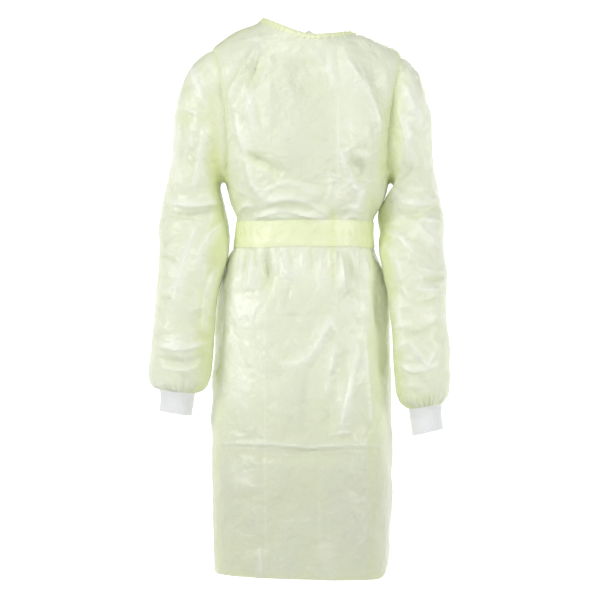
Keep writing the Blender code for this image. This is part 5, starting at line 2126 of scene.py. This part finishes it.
class Gown:
    """The whole gown. Each method builds and dresses one of its parts."""

    def __init__(self) -> None:
        """Works out the body and its creases, and makes the finishes."""
        strewn = tuple(crease for group in BODY_STREWN for crease in group.creases())
        laid = FRONT_CREASES + BACK_CREASES + strewn
        self.body = Body(Creases(MAIN_FOLDS, laid, BODY_CRUMPLES, BODY_DOUBLED, BODY_PAINTED_LIGHT))
        self.finishes = Finishes(
            cloth=CoatedCloth().material(),
            doubled=CoatedCloth(
                name="doubled cloth",
                pale=(0.900, 0.945, 0.690, 1.0),
                deep=(0.800, 0.880, 0.380, 1.0),
                base_doubling=0.08,
                low_from=3.0,
            ).material(),
            knit=RibKnit().material(),
            thread=Thread().material(),
        )

    def dress(self, made: bpy.types.Object, node: str, finish: bpy.types.Material) -> None:
        """Gives a piece its finish and its body, and hides the solid that it takes the place of.

        Args:
            made: the piece.
            node: the solid that it takes the place of, or nothing.
            finish: its material.
        """
        made.data.materials.append(finish)
        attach(made, "root")
        if node:
            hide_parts(node)
        LOG.info("%s: %d points", made.name, len(made.data.vertices))

    def cloth(
        self, node: str, grid: ClothGrid, thickness: float = CLOTH_THICKNESS, doubled: bool = False
    ) -> None:
        """Builds and dresses a piece of cloth in place of its solid.

        Args:
            node: the solid.
            grid: the cloth's grid.
            thickness: the cloth's thickness.
            doubled: whether its finish is that of cloth folded double.
        """
        finish = self.finishes.doubled if doubled else self.finishes.cloth
        self.dress(grid.build(f"{node}_cloth", thickness), node, finish)

    def sew(self, name: str, lines: list[tuple[Array, Array]], pitch: float = STITCH_PITCH) -> None:
        """Builds and dresses rows of stitches.

        Args:
            name: what they hold together.
            lines: points and normals along each row.
            pitch: distance from stitch to stitch.
        """
        made = Stitches(f"{name}_stitches", pitch=pitch).build(lines)
        self.dress(made, "", self.finishes.thread)

    def build_panels(self) -> None:
        """The front and the two back panels, their side seams and their hems."""
        lines = []
        for node, grid in (
            ("front_panel", self.body.front()),
            ("back_panel_left", self.body.back_left()),
            ("back_panel_right", self.body.back_right()),
        ):
            self.cloth(node, grid)
            normal = grid_normals(grid.points, wrap=False)
            hem = int(np.argmax(grid.along[:, 0] > 0.7 * HEM_BAND))
            lines.append((grid.points[hem], normal[hem]))
            if node == "front_panel":
                below = self.body.rows() <= STATION["underarm"]
                for column in (2, -3):
                    lines.append((grid.points[below][:, column], normal[below][:, column]))
        self.sew("panel", lines)

    def build_arms(self) -> None:
        """Both sleeves with their cuffs and seams."""
        for side, arm in ARMS.items():
            word = side.name.lower()
            sleeve = Sleeve(side, self.body, arm.rings, arm.creases(side)).grid()
            self.cloth(f"sleeve_{word}", sleeve)
            cuff = Cuff(side, arm.rings[-1], arm.cuff_end).grid()
            made = cuff.build(f"cuff_{word}_knit", Cuff.thickness)
            self.dress(made, f"cuff_{word}", self.finishes.knit)
            normal = grid_normals(sleeve.points, wrap=True)
            rows = (int(np.argmax(sleeve.along[:, 0] > SLEEVE_STITCH_LINE)), len(sleeve.points) - 2)
            self.sew(f"sleeve_{word}", [(sleeve.points[row], normal[row]) for row in rows])

    def build_belt(self) -> None:
        """The belt with its two seams, its knot and its tails."""
        belt = Belt(self.body)
        self.cloth("waist_belt", belt.grid(), BELT_THICKNESS, doubled=True)
        angle = np.pi + 2.0 * np.pi * np.linspace(0.0, 1.0, belt.columns)
        lines = []
        for share in belt.seams:
            points = belt.points_at(np.full((1, 1), share), angle[None, :])[0]
            lines.append((points, self.body.normals(np.full_like(angle, BELT_LOW + share), angle)))
        self.sew("belt", lines)
        self.build_knot("belt_knot", BELT_TAILS)

    def build_neck(self) -> None:
        """The neck binding with its seam, its knot and its ties."""
        grid = Binding(self.body).grid()
        self.cloth("neck_binding", grid, doubled=True)
        normal = grid_normals(grid.points, wrap=False)
        self.sew("binding", [(grid.points[1], normal[1])], pitch=BINDING_PITCH)
        self.build_knot("neck_tie_knot", NECK_TIES)

    def build_knot(self, name: str, ties: tuple[Tie, ...]) -> None:
        """A knot and the ties that hang from it.

        Args:
            name: the knot's node.
            ties: the ties.
        """
        knot = Knot(name)
        self.dress(knot.build(), name, self.finishes.doubled)
        middle, half = knot.box()
        under = middle - np.array([0.0, 0.0, KNOT_UNDERSIDE * half[2]])
        for tie in ties:
            self.cloth(tie.node, tie.grid(self.body, under), TIE_THICKNESS, doubled=True)


@dataclass(frozen=True)
class Light:
    """A soft square light aimed at the gown's middle."""

    name: str
    place: tuple[float, float, float]
    size: float
    power: float

    def build(self) -> bpy.types.Object:
        """Makes the light, turned so that its -Z looks at the gown.

        Returns:
            The light's object.
        """
        lamp = bpy.data.lights.new(self.name, "AREA")
        lamp.shape = "SQUARE"
        lamp.size = self.size
        lamp.energy = self.power
        made = bpy.data.objects.new(self.name, lamp)
        bpy.context.scene.collection.objects.link(made)
        way = unit(np.array(LIGHT_TARGET) - np.array(self.place))
        made.location = self.place
        made.rotation_euler = (
            math.acos(float(-way[2])),
            0.0,
            math.atan2(float(way[1]), float(way[0])) - 0.5 * math.pi,
        )
        return made


class Studio:
    """The plain pale set: floor with a round cove, soft lights and the camera."""

    floor_z = -1.62
    flat_radius = 7.0
    cove_radius = 1.6
    wall_top = 4.0
    floor_columns = 96
    lights = (
        Light("left box", (-3.2, -2.6, 0.6), 1.5, 62.0),
        Light("right box", (3.2, -2.6, 0.2), 1.5, 49.0),
        Light("top", (-0.5, -2.2, 2.7), 1.0, 26.0),
        Light("back", (0.4, 3.6, 1.2), 2.0, 60.0),
    )

    def build_floor(self) -> None:
        """The floor: a profile carried once round, flat and then up in a quarter circle to a wall."""
        bend = np.linspace(0.0, 0.5 * np.pi, 24)
        radius = np.concatenate([[0.02, 2.0, 4.5], self.flat_radius + self.cove_radius * np.sin(bend)])
        radius = np.append(radius, self.flat_radius + self.cove_radius)
        height = np.concatenate([[0.0, 0.0, 0.0], self.cove_radius * (1.0 - np.cos(bend))])
        height = np.append(height, self.wall_top)
        turn = 2.0 * np.pi * np.arange(self.floor_columns) / self.floor_columns
        x, y = radius[:, None] * np.cos(turn), radius[:, None] * np.sin(turn)
        z = np.broadcast_to(self.floor_z + height[:, None], x.shape)
        rows, columns = x.shape
        faces = quads(rows, columns, False, True)[:, ::-1].tolist() + [list(range(columns))]
        made = make_object("floor", np.stack([x, y, z], -1).reshape(-1, 3), faces)
        made.data.materials.append(Backdrop().material())

    def build_camera(self) -> None:
        """The camera at the photograph's angle, level, with a shift of a few pixels for its framing."""
        data = bpy.data.cameras.new("camera")
        data.sensor_width = SENSOR
        data.lens = SENSOR * CAMERA_DISTANCE / FRAME_WIDTH
        data.shift_x = -AXIS_RIGHT_PIXELS / FRAME_PIXELS
        data.shift_y = AXIS_DOWN_PIXELS / FRAME_PIXELS
        made = bpy.data.objects.new("camera", data)
        bpy.context.scene.collection.objects.link(made)
        made.location = (
            CAMERA_DISTANCE * math.sin(CAMERA_AZIMUTH),
            -CAMERA_DISTANCE * math.cos(CAMERA_AZIMUTH),
            CAMERA_HEIGHT,
        )
        made.rotation_euler = (0.5 * math.pi, 0.0, CAMERA_AZIMUTH)
        bpy.context.scene.camera = made

    def build(self) -> None:
        """Builds the whole set."""
        world = bpy.data.worlds.new("studio")
        world.use_nodes = True
        background = world.node_tree.nodes["Background"]
        background.inputs["Color"].default_value = (1.0, 1.0, 1.0, 1.0)
        background.inputs["Strength"].default_value = WORLD_STRENGTH
        bpy.context.scene.world = world
        bpy.context.scene.view_settings.view_transform = "Standard"
        self.build_camera()
        self.build_floor()
        for light in self.lights:
            light.build()


def main() -> None:
    """Builds the gown around its frame."""
    logging.basicConfig(level=logging.INFO, format="%(name)s: %(message)s")
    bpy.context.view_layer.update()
    Studio().build()
    gown = Gown()
    gown.build_panels()
    gown.build_arms()
    gown.build_belt()
    gown.build_neck()
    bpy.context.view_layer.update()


if __name__ == "__main__":
    main()
